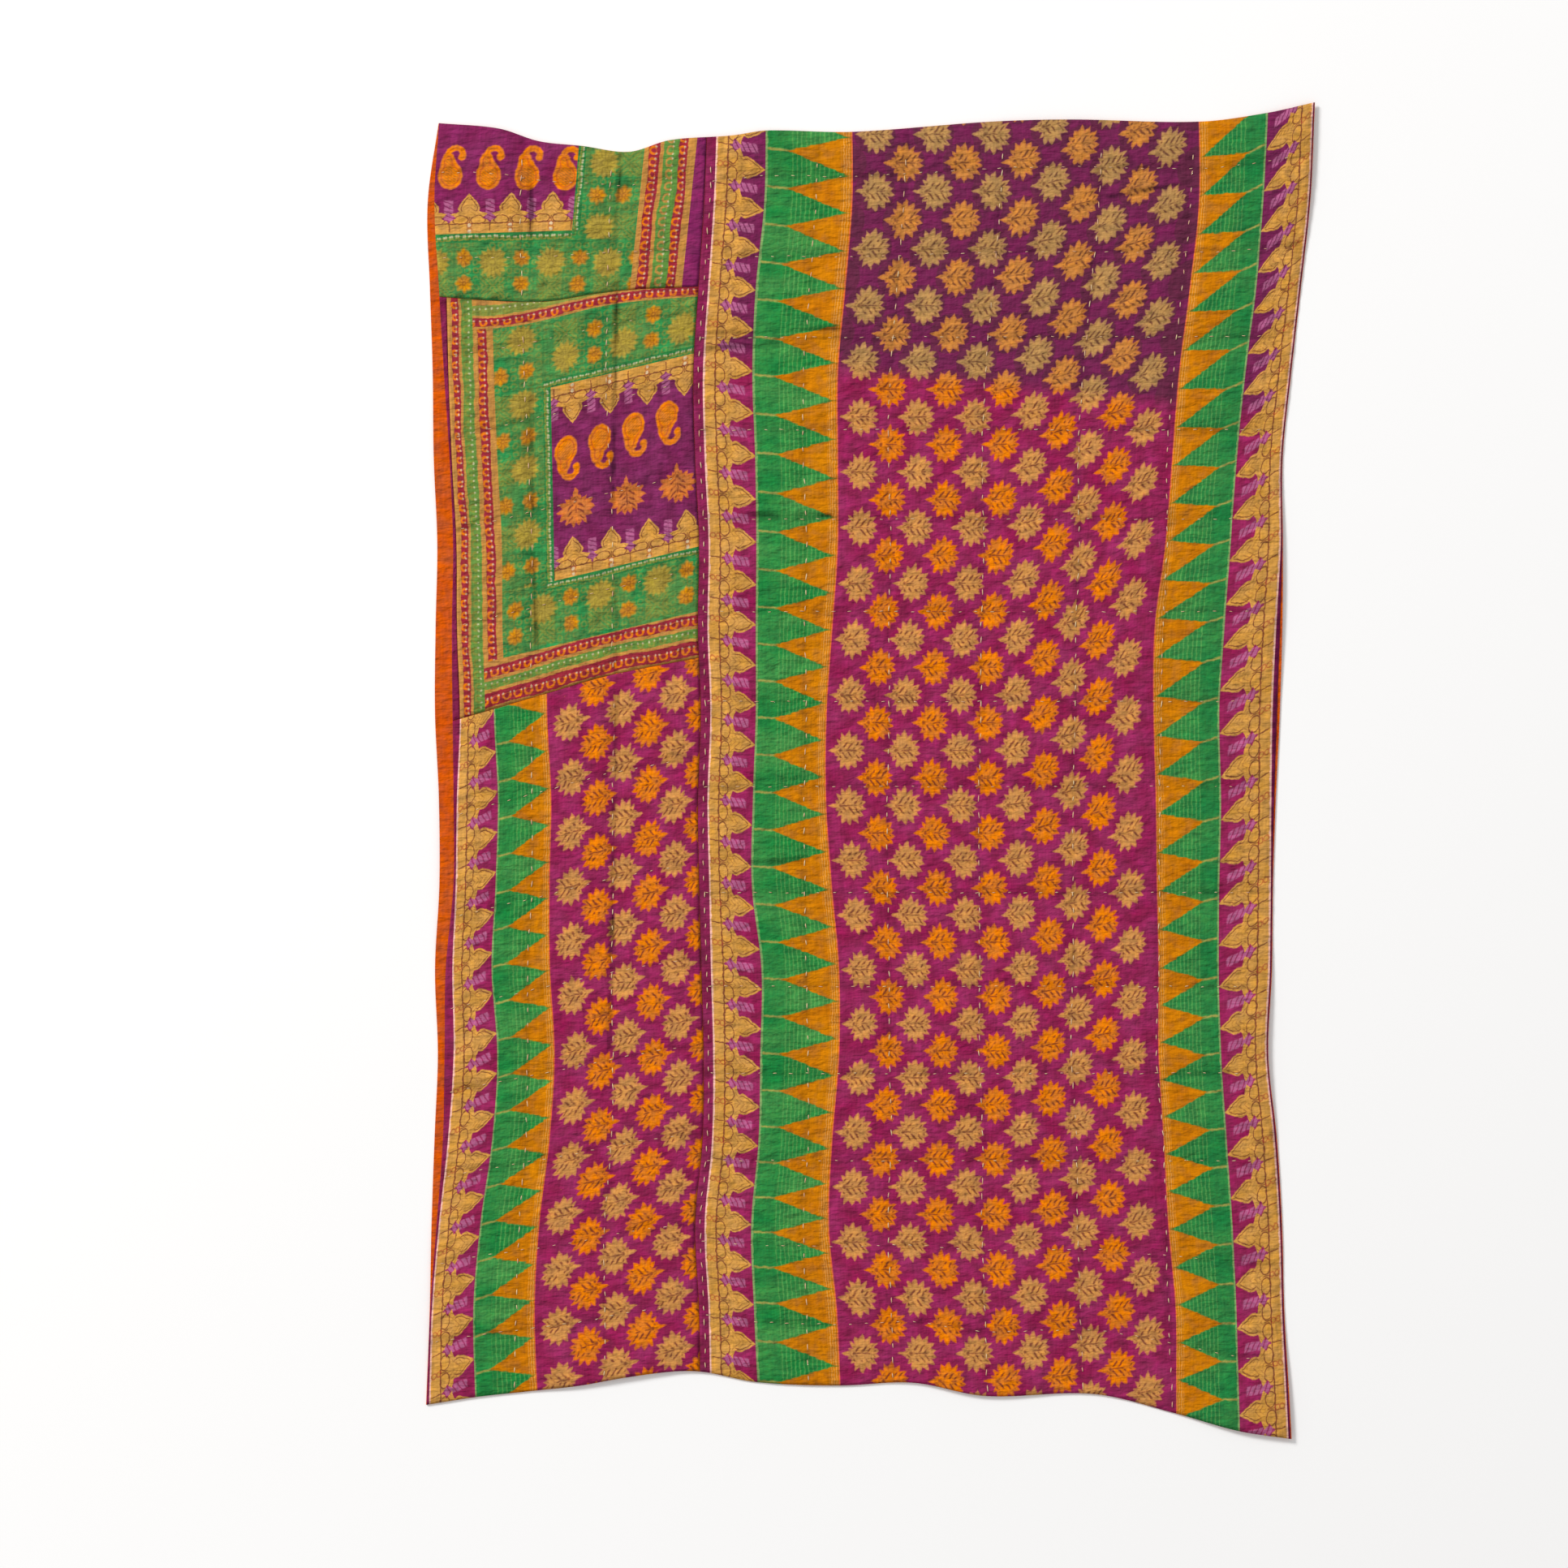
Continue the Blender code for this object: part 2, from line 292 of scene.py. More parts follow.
def spline(stops: Sequence[float], values: Sequence[float], place: np.ndarray) -> np.ndarray:
    """The height at each place of a smooth curve through values.

    Args:
        stops: where the values stand, rising.
        values: the curve's heights there.
        place: the places asked for.

    Returns:
        The curve's height at each place, straight on past its ends.
    """
    stops, values = np.asarray(stops, float), np.asarray(values, float)
    place = np.asarray(place, float)
    count = len(stops)
    before = np.maximum(np.arange(count) - 1, 0)
    after = np.minimum(np.arange(count) + 1, count - 1)
    slopes = (values[after] - values[before]) / (stops[after] - stops[before])
    k = np.clip(np.searchsorted(stops, place, side="left") - 1, 0, count - 2)
    span = stops[k + 1] - stops[k]
    t = (place - stops[k]) / span
    ease = t * t * (3 - 2 * t)
    lead = slopes[k] * span * t * (1 - t) ** 2
    tail = slopes[k + 1] * span * t * t * (t - 1)
    height = values[k] + (values[k + 1] - values[k]) * ease + lead + tail
    height = np.where(t < 0, values[k] + slopes[k] * span * t, height)
    return np.where(t > 1, values[k + 1] + slopes[k + 1] * span * (t - 1), height)


Line = Callable[[np.ndarray], np.ndarray]


def side_line(column: str, move: float = 0.0) -> Line:
    """A named line down the quilt, as a function of the place along it.

    Args:
        column: the field of Section that holds the line.
        move: millimetres that the line is moved by, across.

    Returns:
        A function from the place along the quilt to the line's place across.
    """
    upward = SECTIONS[::-1]
    stops = [section.along for section in upward]
    values = [getattr(section, column) + move for section in upward]
    return lambda along: spline(stops, values, along)


def end_line(points: Sequence[EdgePoint], move: float = 0.0) -> Line:
    """An edge across the quilt, as a function of the place across.

    Args:
        points: the edge's points.
        move: millimetres that the edge is moved by, along.

    Returns:
        A function from the place across the quilt to the edge's place along.
    """
    stops = [point.across for point in points]
    values = [point.along + move for point in points]
    return lambda across: spline(stops, values, across)


def level_line(along: float, slope: float = 0.0, pivot: float = 0.0) -> Line:
    """A straight line across the quilt, along from which it rises by slope past pivot."""
    return lambda across: along + slope * (np.asarray(across, float) - pivot)


def bell(across: np.ndarray, along: np.ndarray, swell: Swell) -> np.ndarray:
    """The height at each place of a rounded rise with a level foot."""
    reach = np.hypot(
        (across - swell.across) / swell.half_width, (along - swell.along) / swell.half_length
    )
    return np.where(reach < 1, swell.rise * np.cos(np.minimum(reach, 1) * np.pi / 2) ** 2, 0.0)


def lift(across: np.ndarray, along: np.ndarray) -> np.ndarray:
    """How far the whole quilt stands off the surface at each place, in mm."""
    highest = np.max([bell(across, along, swell) for swell in SWELLS], axis=0)
    outside = np.hypot((across / BED_HALF_WIDTH) ** 2, (along / BED_HALF_LENGTH) ** 2) ** 0.5
    rim = RIM_RISE * np.clip((outside - 1) / RIM_BLEND, 0, 1)
    nearest = np.min([np.hypot(across - t.across, along - t.along) for t in TOUCHES], axis=0)
    away = np.clip((nearest - TOUCH_CORE) / (TOUCH_REACH - TOUCH_CORE), 0, 1)
    return np.maximum(highest, rim) * away


class Fold(NamedTuple):
    """A sharp fold line, from one point to another, in mm."""

    across: float
    along: float
    to_across: float
    to_along: float


FOLDS = (
    Fold(-292, 770, -54, 780),
    Fold(-292, 744, -150, 750),
    Fold(-215, 451, -70, 449),
    Fold(-215, -15, -90, -10),
    Fold(-215, -161, -120, -158),
    Fold(-440, 1085, -455, 880),
    Fold(-447, 860, -453, 520),
    Fold(-453, 500, -447, 160),
    Fold(-447, 130, -460, -487),
    Fold(-597, 1060, -600, 860),
    Fold(-600, 800, -594, 420),
    Fold(-594, 380, -584, 130),
    Fold(420, 1010, 560, 1035),
)


def fold_distance(across: np.ndarray, along: np.ndarray) -> np.ndarray:
    """How far each place is from the nearest fold line, in mm."""
    found = []
    for fold in FOLDS:
        run = np.array([fold.to_across - fold.across, fold.to_along - fold.along])
        share = (across - fold.across) * run[0] + (along - fold.along) * run[1]
        share = np.clip(share / (run @ run), 0, 1)
        gap = np.hypot(
            across - fold.across - share * run[0], along - fold.along - share * run[1]
        )
        found.append(gap + ripple(across, along, FOLD_WANDER_SIZE, seed=21) * FOLD_WANDER)
    return np.maximum(np.min(found, axis=0), 0)


def crease_height(across: np.ndarray, along: np.ndarray) -> np.ndarray:
    """How far the folded creases stand up at each place, in mm."""
    return np.sum([bell(across, along, crease) for crease in CREASES], axis=0)


def ripple(across: np.ndarray, along: np.ndarray, size: float, seed: int) -> np.ndarray:
    """Smooth unevenness, the same on every run.

    Args:
        across: places across, in mm.
        along: places along, in mm.
        size: the width of a bump, in mm.
        seed: picks one field of bumps.

    Returns:
        Heights from about -1 to 1.
    """
    gx, gy = across / size, along / size
    ix, iy = np.floor(gx), np.floor(gy)
    fx, fy = gx - ix, gy - iy
    fx, fy = fx * fx * (3 - 2 * fx), fy * fy * (3 - 2 * fy)

    def corner(i: int, j: int) -> np.ndarray:
        """The height at one corner of each place's square."""
        value = np.sin((ix + i) * 127.1 + (iy + j) * 311.7 + seed * 74.7) * 43758.5453
        return 2 * (value - np.floor(value)) - 1

    low = corner(0, 0) * (1 - fx) + corner(1, 0) * fx
    high = corner(0, 1) * (1 - fx) + corner(1, 1) * fx
    return low * (1 - fy) + high * fy


def cell_share(rows: np.ndarray, place: np.ndarray) -> tuple[np.ndarray, np.ndarray]:
    """Where each place lies between two rows of stitches.

    Args:
        rows: the rows' places, rising.
        place: the places asked for.

    Returns:
        The share of the way from one row to the next, and the distance to the nearer.
    """
    k = np.clip(np.searchsorted(rows, place) - 1, 0, len(rows) - 2)
    share = np.clip((place - rows[k]) / (rows[k + 1] - rows[k]), 0, 1)
    return share, np.minimum(np.abs(place - rows[k]), np.abs(rows[k + 1] - place))


@dataclass(frozen=True)
class Quilting:
    """The rows of running stitch on one piece, and how the cloth puffs between them."""

    left: Line
    right: Line
    column_shares: tuple[float, ...]
    rows: tuple[float, ...]
    puff: float = PUFF
    seed: int = 1
    # A puff's roundness, its mean height, and how much that varies over patches this wide
    roundness: float = 0.42
    mean: float = 0.86
    spread: float = 0.2
    patch: float = 210
    # The gathers at a row: their height, how far they reach, their wave, and its wandering
    gather: float = 0.7
    gather_reach: float = 20
    gather_wave: float = 4.3
    gather_patch: float = 60
    # Crumples longer across than along, coarse and fine, each with its height and size
    crumple_stretch: float = 0.7
    crumple: float = 0.9
    crumple_size: float = 34
    fine_crumple: float = 0.35
    fine_size: float = 16
    # How much of them shows where the cloth is held flat, and how much more on a puff
    crumple_flat: float = 0.35
    crumple_puffed: float = 0.65
    row_edge: float = 6

    def nearest(self, across: np.ndarray, along: np.ndarray, level: np.ndarray) -> np.ndarray:
        """How far each place is from the nearest row of stitches, in mm."""
        left, right = self.left(along), self.right(along)
        _, to_column = cell_share(np.array(self.column_shares), (across - left) / (right - left))
        _, to_row = cell_share(np.array(self.rows), level)
        return np.minimum(to_column * (right - left), to_row)

    def height(self, across: np.ndarray, along: np.ndarray, level: np.ndarray) -> np.ndarray:
        """The face's height over the seat of its cloth.

        Args:
            across: places across, in mm.
            along: places along, in mm.
            level: the places along, if the ends were straight.

        Returns:
            Heights in mm.
        """
        left, right = self.left(along), self.right(along)
        share = (across - left) / (right - left)
        column, to_column = cell_share(np.array(self.column_shares), share)
        to_column = to_column * (right - left)
        row, to_row = cell_share(np.array(self.rows), level)
        dome = np.sin(np.pi * column) * np.sin(np.pi * row)
        patches = ripple(across, along, self.patch, self.seed)
        puff = np.maximum(dome, 0) ** self.roundness * (self.mean + self.spread * patches)
        down_rows = self.waves(to_column, along, ripple(across, along, self.gather_patch, seed=5))
        cross_rows = self.waves(to_row, across, ripple(across, along, self.gather_patch, seed=6))
        gathers = self.gather * (down_rows + cross_rows)
        squeezed = across * self.crumple_stretch
        coarse = self.crumple * ripple(squeezed, along, self.crumple_size, seed=11)
        crumple = coarse + self.fine_crumple * ripple(squeezed, along, self.fine_size, seed=12)
        crumple = crumple * (self.crumple_flat + self.crumple_puffed * puff)
        edge = np.minimum(1, np.minimum(to_column, to_row) / self.row_edge)
        return ROW_HEIGHT + self.puff * puff + gathers * edge + crumple

    def waves(self, distance: np.ndarray, run: np.ndarray, shift: np.ndarray) -> np.ndarray:
        """The gathers' waves along a row of stitches, which fade with the distance from it."""
        fade = np.exp(-distance / self.gather_reach)
        return fade * np.sin(run / self.gather_wave + 2 * shift)


def stitch_rows(bottom_level: float, top_level: float) -> tuple[float, ...]:
    """The rows of stitches that cross a piece, with its two ends."""
    inside = [r for r in CROSS_ROWS if bottom_level + LEAST_CELL < r < top_level - LEAST_CELL]
    return (bottom_level, *sorted(inside), top_level)


def left_quilting(bottom_level: float, top_level: float, seed: int) -> Quilting:
    """The rows of stitches of a cloth at the left, between two levels."""
    rows = stitch_rows(bottom_level, top_level)
    return Quilting(side_line("strip"), side_line("seam"), LEFT_ROWS, rows, seed=seed)


class Guide(NamedTuple):
    """A line that the mesh follows, and where it lies on the cloth itself, in mm.

    A guide across the quilt also has its level, where it would lie along the quilt if the
    ends were straight. With none, that is where it lies on the cloth.
    """

    line: Line
    on_cloth: float
    level: float | None = None


@dataclass(frozen=True)
class Bed:
    """Where a piece's fine grid lies: guide lines down it and across it.

    columns and rows are the guides. A place in the grid is a number such as 2.3, which
    is three tenths of the way from guide 2 to guide 3.
    """

    columns: tuple[Guide, ...]
    rows: tuple[Guide, ...]
    step: float

    def levels(self) -> list[float]:
        """Each row guide's place along the quilt, if the ends were straight."""
        return [row.on_cloth if row.level is None else row.level for row in self.rows]

    def along_at(self, level: np.ndarray, across: np.ndarray) -> np.ndarray:
        """Where a level lies along the quilt.

        Args:
            level: the places along, if the ends were straight.
            across: the places across.

        Returns:
            The places along, in mm.
        """
        places = np.interp(level, self.levels(), np.arange(len(self.rows)))
        return self.between(self.rows, places, across)

    def stops(self, guides: tuple[Guide, ...]) -> np.ndarray:
        """The grid's places from the first guide to the last, about a step apart.

        Args:
            guides: the guides in one direction.

        Returns:
            Places in guide numbers, rising.
        """
        found: list[float] = []
        for k, (low, high) in enumerate(zip(guides[:-1], guides[1:])):
            count = max(1, round(abs(high.on_cloth - low.on_cloth) / self.step))
            found += [k + n / count for n in range(count)]
        return np.array(found + [len(guides) - 1.0])

    @staticmethod
    def between(guides: tuple[Guide, ...], places: np.ndarray, at: np.ndarray) -> np.ndarray:
        """The positions at the given places between guides, read at other coordinates.

        Args:
            guides: the guides in one direction.
            places: places in guide numbers, broadcast against at.
            at: the other coordinate of each point.

        Returns:
            Positions in mm.
        """
        values = np.stack([guide.line(at) for guide in guides])
        places = np.broadcast_to(places, at.shape)
        k = np.clip(np.floor(places).astype(int), 0, len(guides) - 2)
        low = np.take_along_axis(values, k[None], 0)[0]
        high = np.take_along_axis(values, k[None] + 1, 0)[0]
        return low + (high - low) * (places - k)

    def lay(self, p: np.ndarray, q: np.ndarray) -> tuple[np.ndarray, np.ndarray]:
        """The positions of a grid.

        Args:
            p: the columns' places in guide numbers.
            q: the rows' places in guide numbers.

        Returns:
            The grid's places across and along, as arrays of rows.
        """
        shape = (len(q), len(p))
        across, along = np.zeros(shape), np.zeros(shape)
        for _ in range(LAY_ROUNDS):
            along = self.between(self.rows, q[:, None], across)
            across = self.between(self.columns, p[None, :], along)
        return across, along


# The finishes


@dataclass(frozen=True)
class Field:
    """A number at every point of a surface, carried by one socket of a material's nodes."""

    tree: bpy.types.NodeTree
    socket: bpy.types.NodeSocket | None

    def __add__(self, other: "Field | float") -> "Field":
        """The sum."""
        return add(self.tree, "ShaderNodeMath", {0: self, 1: other}, operation="ADD")

    def __sub__(self, other: "Field | float") -> "Field":
        """The difference."""
        return add(self.tree, "ShaderNodeMath", {0: self, 1: other}, operation="SUBTRACT")

    def __rsub__(self, other: float) -> "Field":
        """The difference from a number."""
        return add(self.tree, "ShaderNodeMath", {0: other, 1: self}, operation="SUBTRACT")

    def __mul__(self, other: "Field | float") -> "Field":
        """The product."""
        return add(self.tree, "ShaderNodeMath", {0: self, 1: other}, operation="MULTIPLY")

    def __truediv__(self, other: "Field | float") -> "Field":
        """The quotient."""
        return add(self.tree, "ShaderNodeMath", {0: self, 1: other}, operation="DIVIDE")

    def __abs__(self) -> "Field":
        """The size without the sign."""
        return add(self.tree, "ShaderNodeMath", {0: self}, operation="ABSOLUTE")

    def lowest(self, other: "Field | float") -> "Field":
        """The lower of two."""
        return add(self.tree, "ShaderNodeMath", {0: self, 1: other}, operation="MINIMUM")

    def highest(self, other: "Field | float") -> "Field":
        """The higher of two."""
        return add(self.tree, "ShaderNodeMath", {0: self, 1: other}, operation="MAXIMUM")

    def repeat(self, period: float) -> "Field":
        """The distance from the nearest multiple of period, with its sign."""
        half = period / 2
        return add(self.tree, "ShaderNodeMath", {0: self, 1: half, 2: -half}, operation="WRAP")

    def length(self, other: "Field") -> "Field":
        """The distance from the origin, with other as the second coordinate."""
        total = self * self + other * other
        return add(self.tree, "ShaderNodeMath", {0: total}, operation="SQRT")

    def turn(self, other: "Field") -> "Field":
        """The share of a turn, from 0 at the left, with other as the height."""
        angle = add(self.tree, "ShaderNodeMath", {0: other, 1: self}, operation="ARCTAN2")
        return angle / (2 * math.pi) + 0.5

    def below(self, edge: "Field | float", soft: float = 1.0) -> "Field":
        """One where the number is below an edge and nought above, over a soft width.

        Args:
            edge: where it changes.
            soft: the width of the change.

        Returns:
            A mask from nought to one.
        """
        if isinstance(edge, Field):
            return (self - edge).below(0.0, soft)
        values = {0: self, 1: -1 / soft, 2: edge / soft + 0.5}
        return add(self.tree, "ShaderNodeMath", values, operation="MULTIPLY_ADD", use_clamp=True)

    def above(self, edge: "Field | float", soft: float = 1.0) -> "Field":
        """One where the number is above an edge, and nought below."""
        if isinstance(edge, Field):
            return (self - edge).above(0.0, soft)
        values = {0: self, 1: 1 / soft, 2: 0.5 - edge / soft}
        return add(self.tree, "ShaderNodeMath", values, operation="MULTIPLY_ADD", use_clamp=True)

    def within(self, low: float, high: float, soft: float = 1.0) -> "Field":
        """One between two edges, and nought outside them."""
        return abs(self - (low + high) / 2).below((high - low) / 2, soft)


def add(
    tree: bpy.types.NodeTree,
    kind: str,
    inputs: dict[int | str, object],
    output: int | str = 0,
    **settings: object,
) -> Field:
    """Adds a node with its settings and links.

    Args:
        tree: the material's nodes.
        kind: the node's type.
        inputs: what each socket is given, a field or a value.
        output: the socket that is read from it.
        **settings: the node's own properties.

    Returns:
        The field that the output carries.
    """
    node = tree.nodes.new(kind)
    for name, value in settings.items():
        if name == "curve":
            line = node.mapping.curves[0]
            for n, (x, y) in enumerate(value):
                point = line.points[n] if n < 2 else line.points.new(x, y)
                point.location = (x, y)
            for point in line.points:
                point.handle_type = "VECTOR"
            node.mapping.update()
        elif name == "stripes":
            ramp = node.color_ramp
            ramp.interpolation = "LINEAR"
            for n, (place, colour) in enumerate(value):
                stop = ramp.elements[n] if n < 2 else ramp.elements.new(place)
                stop.position = place
                stop.color = linear(colour)
        else:
            setattr(node, name, value)
    for key, value in inputs.items():
        if isinstance(value, Field):
            tree.links.new(value.socket, node.inputs[key])
        elif isinstance(value, str):
            node.inputs[key].default_value = linear(value)
        else:
            node.inputs[key].default_value = value
    return Field(tree, node.outputs[output] if len(node.outputs) else None)


class Weave(Enum):
    """How the cloth is woven, as threads' spacing in mm, drawn coarse enough to show."""

    SARI = 3.4
    BACKING = 4.6


class Canvas:
    """One cloth's material while it is drawn: its nodes, its places and its colour so far."""

    # Above this place, in metres, the wide sari is darker; the line falls to the right
    UPPER_PLACE = 0.703
    UPPER_FALL = 0.105
    UPPER_SOFT = 0.03
    # How far, in mm, the print's edges wander
    CREEP = 5.0
    # Matt cotton: its shine, how far wear changes and dulls the dye, and how dark the painted shade
    # of the rows lies
    ROUGHNESS = 0.92
    SHINE = 0.08
    SHEEN = 0.02
    WEAR = 0.8
    WEAR_DULLING = 0.12
    ROW_PAINTED_SHADE = -0.34
    # The small puckers' strength, and their depth in metres
    PUCKER = 0.8
    PUCKER_DEPTH = 0.007

    def __init__(self, name: str, ground: str, faded: str, fade: float) -> None:
        """Starts a material with the cloth's own dye.

        Args:
            name: the material's name.
            ground: the cloth's own colour.
            faded: the colour that wear brings out in it.
            fade: how much of that shows.
        """
        self.material = blank_material(name)
        self.tree = self.material.node_tree
        self.cloth = add(self.tree, "ShaderNodeUVMap", {}, uv_map="cloth")
        print_place = add(self.tree, "ShaderNodeUVMap", {}, uv_map="print")
        across = add(self.tree, "ShaderNodeSeparateXYZ", {0: print_place}, 0)
        along = add(self.tree, "ShaderNodeSeparateXYZ", {0: print_place}, 1)
        # Ink creeps along the threads, so every edge of the print wanders a little
        self.x = across * 1000 + (self.mottle(95.0) - 0.5) * self.CREEP
        self.y = along * 1000 + (self.mottle(115.0) - 0.5) * self.CREEP
        self.colour = add(self.tree, "ShaderNodeRGB", {})
        self.colour.socket.default_value = linear(ground)
        self.paint(self.mottle(26.0).above(0.52, 0.3) * fade, faded)

    def mottle(self, scale: float, across: float = 1.0, along: float = 1.0) -> Field:
        """Cloudy noise in the cloth's measure.

        Args:
            scale: bumps to the metre.
            across: how much closer the bumps stand across the cloth.
            along: how much closer they stand along it.

        Returns:
            A field about one half.
        """
        stretch = {"Vector": self.cloth, "Scale": (across, along, 1.0)}
        scaled = add(self.tree, "ShaderNodeMapping", stretch)
        return add(self.tree, "ShaderNodeTexNoise", {"Vector": scaled, "Scale": scale, "Detail": 2.0})

    def upper(self) -> Field:
        """One on the upper part of the wide sari, which is darker, and nought below."""
        place = add(self.tree, "ShaderNodeTexCoord", {}, "Object")
        across = add(self.tree, "ShaderNodeSeparateXYZ", {0: place}, 0)
        along = add(self.tree, "ShaderNodeSeparateXYZ", {0: place}, 1)
        return (along + across * self.UPPER_FALL).above(self.UPPER_PLACE, self.UPPER_SOFT)

    def paint(self, mask: Field, ink: "str | Field") -> None:
        """Lays an ink over the colours so far.

        Args:
            mask: where it lies, from nought to one.
            ink: its colour.
        """
        self.colour = add(
            self.tree,
            "ShaderNodeMix",
            {0: mask, 6: self.colour, 7: ink},
            2,
            data_type="RGBA",
            clamp_factor=True,
        )

    def finish(self, weave: Weave) -> bpy.types.Material:
        """Adds the weave, the wear, the painted shade in the rows and folds and the shader; gives the
        finished material.

        Args:
            weave: the cloth's threads.

        Returns:
            The material.
        """
        # Slubs: uneven threads that take more or less dye, the warp down and the weft across
        close = 1000 / weave.value
        warp = self.mottle(1.0, close, 24.0)
        weft = self.mottle(1.0, 30.0, close)
        threads = (warp + weft) * 0.5
        worn = self.mottle(52.0)
        # Painted shade darkens the quilting lines and fold lines, more in some places than in others
        line = add(self.tree, "ShaderNodeAttribute", {}, 2, attribute_name="painted_row_and_fold_shade")
        painted_shade_value = line * self.mottle(9.0).above(0.46, 0.3) * self.ROW_PAINTED_SHADE
        shade = add(
            self.tree,
            "ShaderNodeHueSaturation",
            {
                "Saturation": (worn - 0.5) * self.WEAR_DULLING + 1.0,
                "Value": threads - 0.5 + (worn - 0.5) * self.WEAR + 1.0 + painted_shade_value,
                "Color": self.colour,
            },
        )
        # Small puckers that the stitches leave, too small for the mesh
        puckers = self.mottle(62.0, 0.75, 1.6)
        relief = {
            "Strength": self.PUCKER,
            "Distance": self.PUCKER_DEPTH,
            "Height": puckers + threads * 0.1,
        }
        bump = add(self.tree, "ShaderNodeBump", relief)
        shader = add(
            self.tree,
            "ShaderNodeBsdfPrincipled",
            {
                "Base Color": shade,
                "Normal": bump,
                "Roughness": self.ROUGHNESS,
                "Specular IOR Level": self.SHINE,
                "Sheen Weight": self.SHEEN,
            },
        )
        add(self.tree, "ShaderNodeOutputMaterial", {0: shader})
        return self.material


class Ink:
    """The dyes, the print's inks and the thread, as they look on the worn cloth."""

    PURPLE = "#8E1C4B"
    PURPLE_DEEP = "#74244F"
    PURPLE_FADED = "#A33A6E"
    SELVAGE = "#7E1D44"
    ORANGE = "#E27C12"
    ORANGE_DEEP = "#CC8418"
    ORANGE_EDGE = "#C9541A"
    GOLD = "#CC8E4C"
    GOLD_EDGE = "#BC7048"
    OCHRE = "#C8903F"
    OCHRE_LIGHT = "#D89E50"
    STRIPE_GOLD = "#BE8642"
    TEMPLE_ORANGE = "#BE6E02"
    GREEN = "#1B823C"
    GREEN_DARK = "#1E7C3E"
    GREEN_DEEP = "#367A3C"
    FIELD_GREEN = "#2F7C40"
    OLIVE = "#6E7A2A"
    OLIVE_GOLD = "#868A3A"
    DAISY = "#AC9238"
    DAISY_LINE = "#8A7434"
    PINK = "#B5668E"
    BLUSH = "#EBB7A6"
    BROWN = "#641C26"
    RUST = "#A03A2C"
    RED = "#962A38"
    WHITE = "#DCCFAE"
    BACKING = "#C9500C"
    BACKING_FADED = "#D2682A"
    SELVAGE_FAR = "#701848"
    PANEL = "#772250"
    PANEL_END = "#7E1E50"
    PANEL_FADED = "#8A386A"
    END_PURPLE = "#7C2058"
    GREEN_WORN = "#4E944A"
    GREEN_LINE = "#8FC46A"
    GREEN_SCROLL = "#0F7A40"
    GREEN_EDGE = "#8FA86A"
    FIELD_FADED = "#2F9350"
    FIELD_WORN = "#6B8440"
    STRIPE_GREEN = "#648A3E"
    STRIPE_GREEN_HEAD = "#7C8A40"
    STRIPE_GREEN_END = "#5E8A3E"
    TAIL = "#B8A050"
    POINT = "#7A6A1E"
    TEMPLE_LIGHT = "#D4860C"
    TEMPLE_LINE = "#F4B868"
    TEMPLE_EDGE = "#DA5A3A"
    HATCH = "#A06A2A"
    FLOWER_LINE = "#8E4A22"
    THREAD = "#DCC496"
    THREAD_DARK = "#D0A07C"


def paint_leaf(
    canvas: Canvas,
    dx: Field,
    dy: Field,
    size: float,
    gold: Field | float,
    other: Field | float,
) -> None:
    """Draws a jagged leaf with its spike and its dark strokes.

    Args:
        canvas: the cloth's material.
        dx: how far past the leaf's middle, away from its spike, in mm.
        dy: how far to its side, in mm.
        size: the spike's reach.
        gold: one where the leaf is gold.
        other: one where it is orange.
    """
    # Each tooth's tip and notch round the leaf, in degrees from the spike, and its reach
    outline = (
        (-180, 0.72), (-170, 0.92), (-157, 0.68), (-147, 0.94), (-133, 0.68), (-121, 0.94),
        (-107, 0.68), (-94, 0.94), (-80, 0.68), (-68, 0.90), (-54, 0.56), (-44, 0.74),
        (-31, 0.50), (-22, 0.64), (-13, 0.62), (0, 0.98), (13, 0.60), (21, 0.66), (32, 0.50),
        (46, 0.76), (56, 0.56), (70, 0.88), (82, 0.68), (97, 0.96), (109, 0.66), (122, 0.92),
        (135, 0.66), (149, 0.95), (158, 0.68), (170, 0.90), (180, 0.72),
    )
    squash, curve_scale = 0.97, 0.9
    turn = (dx * -1).turn(dy * squash)
    points = [((angle + 180) / 360, reach * curve_scale) for angle, reach in outline]
    reach = add(canvas.tree, "ShaderNodeFloatCurve", {"Value": turn}, curve=points)
    worn = (canvas.mottle(70.0) - 0.5) * 9.0
    edge = reach * (size / curve_scale) - dx.length(dy * squash) + worn
    body = edge.above(0.0, 4.0)
    canvas.paint(body * other, Ink.ORANGE)
    canvas.paint(body * gold, Ink.GOLD)
    rim = body * edge.below(3.5, 5.0) * 0.7
    canvas.paint(rim * other, Ink.ORANGE_EDGE)
    canvas.paint(rim * gold, Ink.GOLD_EDGE)
    # A spot near the spike's root, slanting strokes to the sides and a fork past the middle
    side = abs(dy)
    slanting = abs((dx - side * 0.75).repeat(10.5)).below(2.1, 2.6)
    strokes = slanting * side.within(2.0, 15.0, 4.0) * edge.above(5.0, 4.0)
    spot = (dx + size * 0.36).length(dy * 0.8).below(2.6, 2.6)
    rib = side.below(1.2, 2.0) * dx.within(size * -0.3, size * 0.5, 4.0)
    broken = canvas.mottle(75.0).above(0.45, 0.14)
    both = other + gold
    canvas.paint(strokes.highest(rib) * broken * both * 0.8, Ink.BROWN)
    canvas.paint(spot * both * 0.7, Ink.BROWN)


# The measure that the lotus is drawn in: the border's depth, the spacing and half a breadth
LOTUS_DEPTH = 83.0
LOTUS_SPACING = 72.0
LOTUS_HALF = 40.0


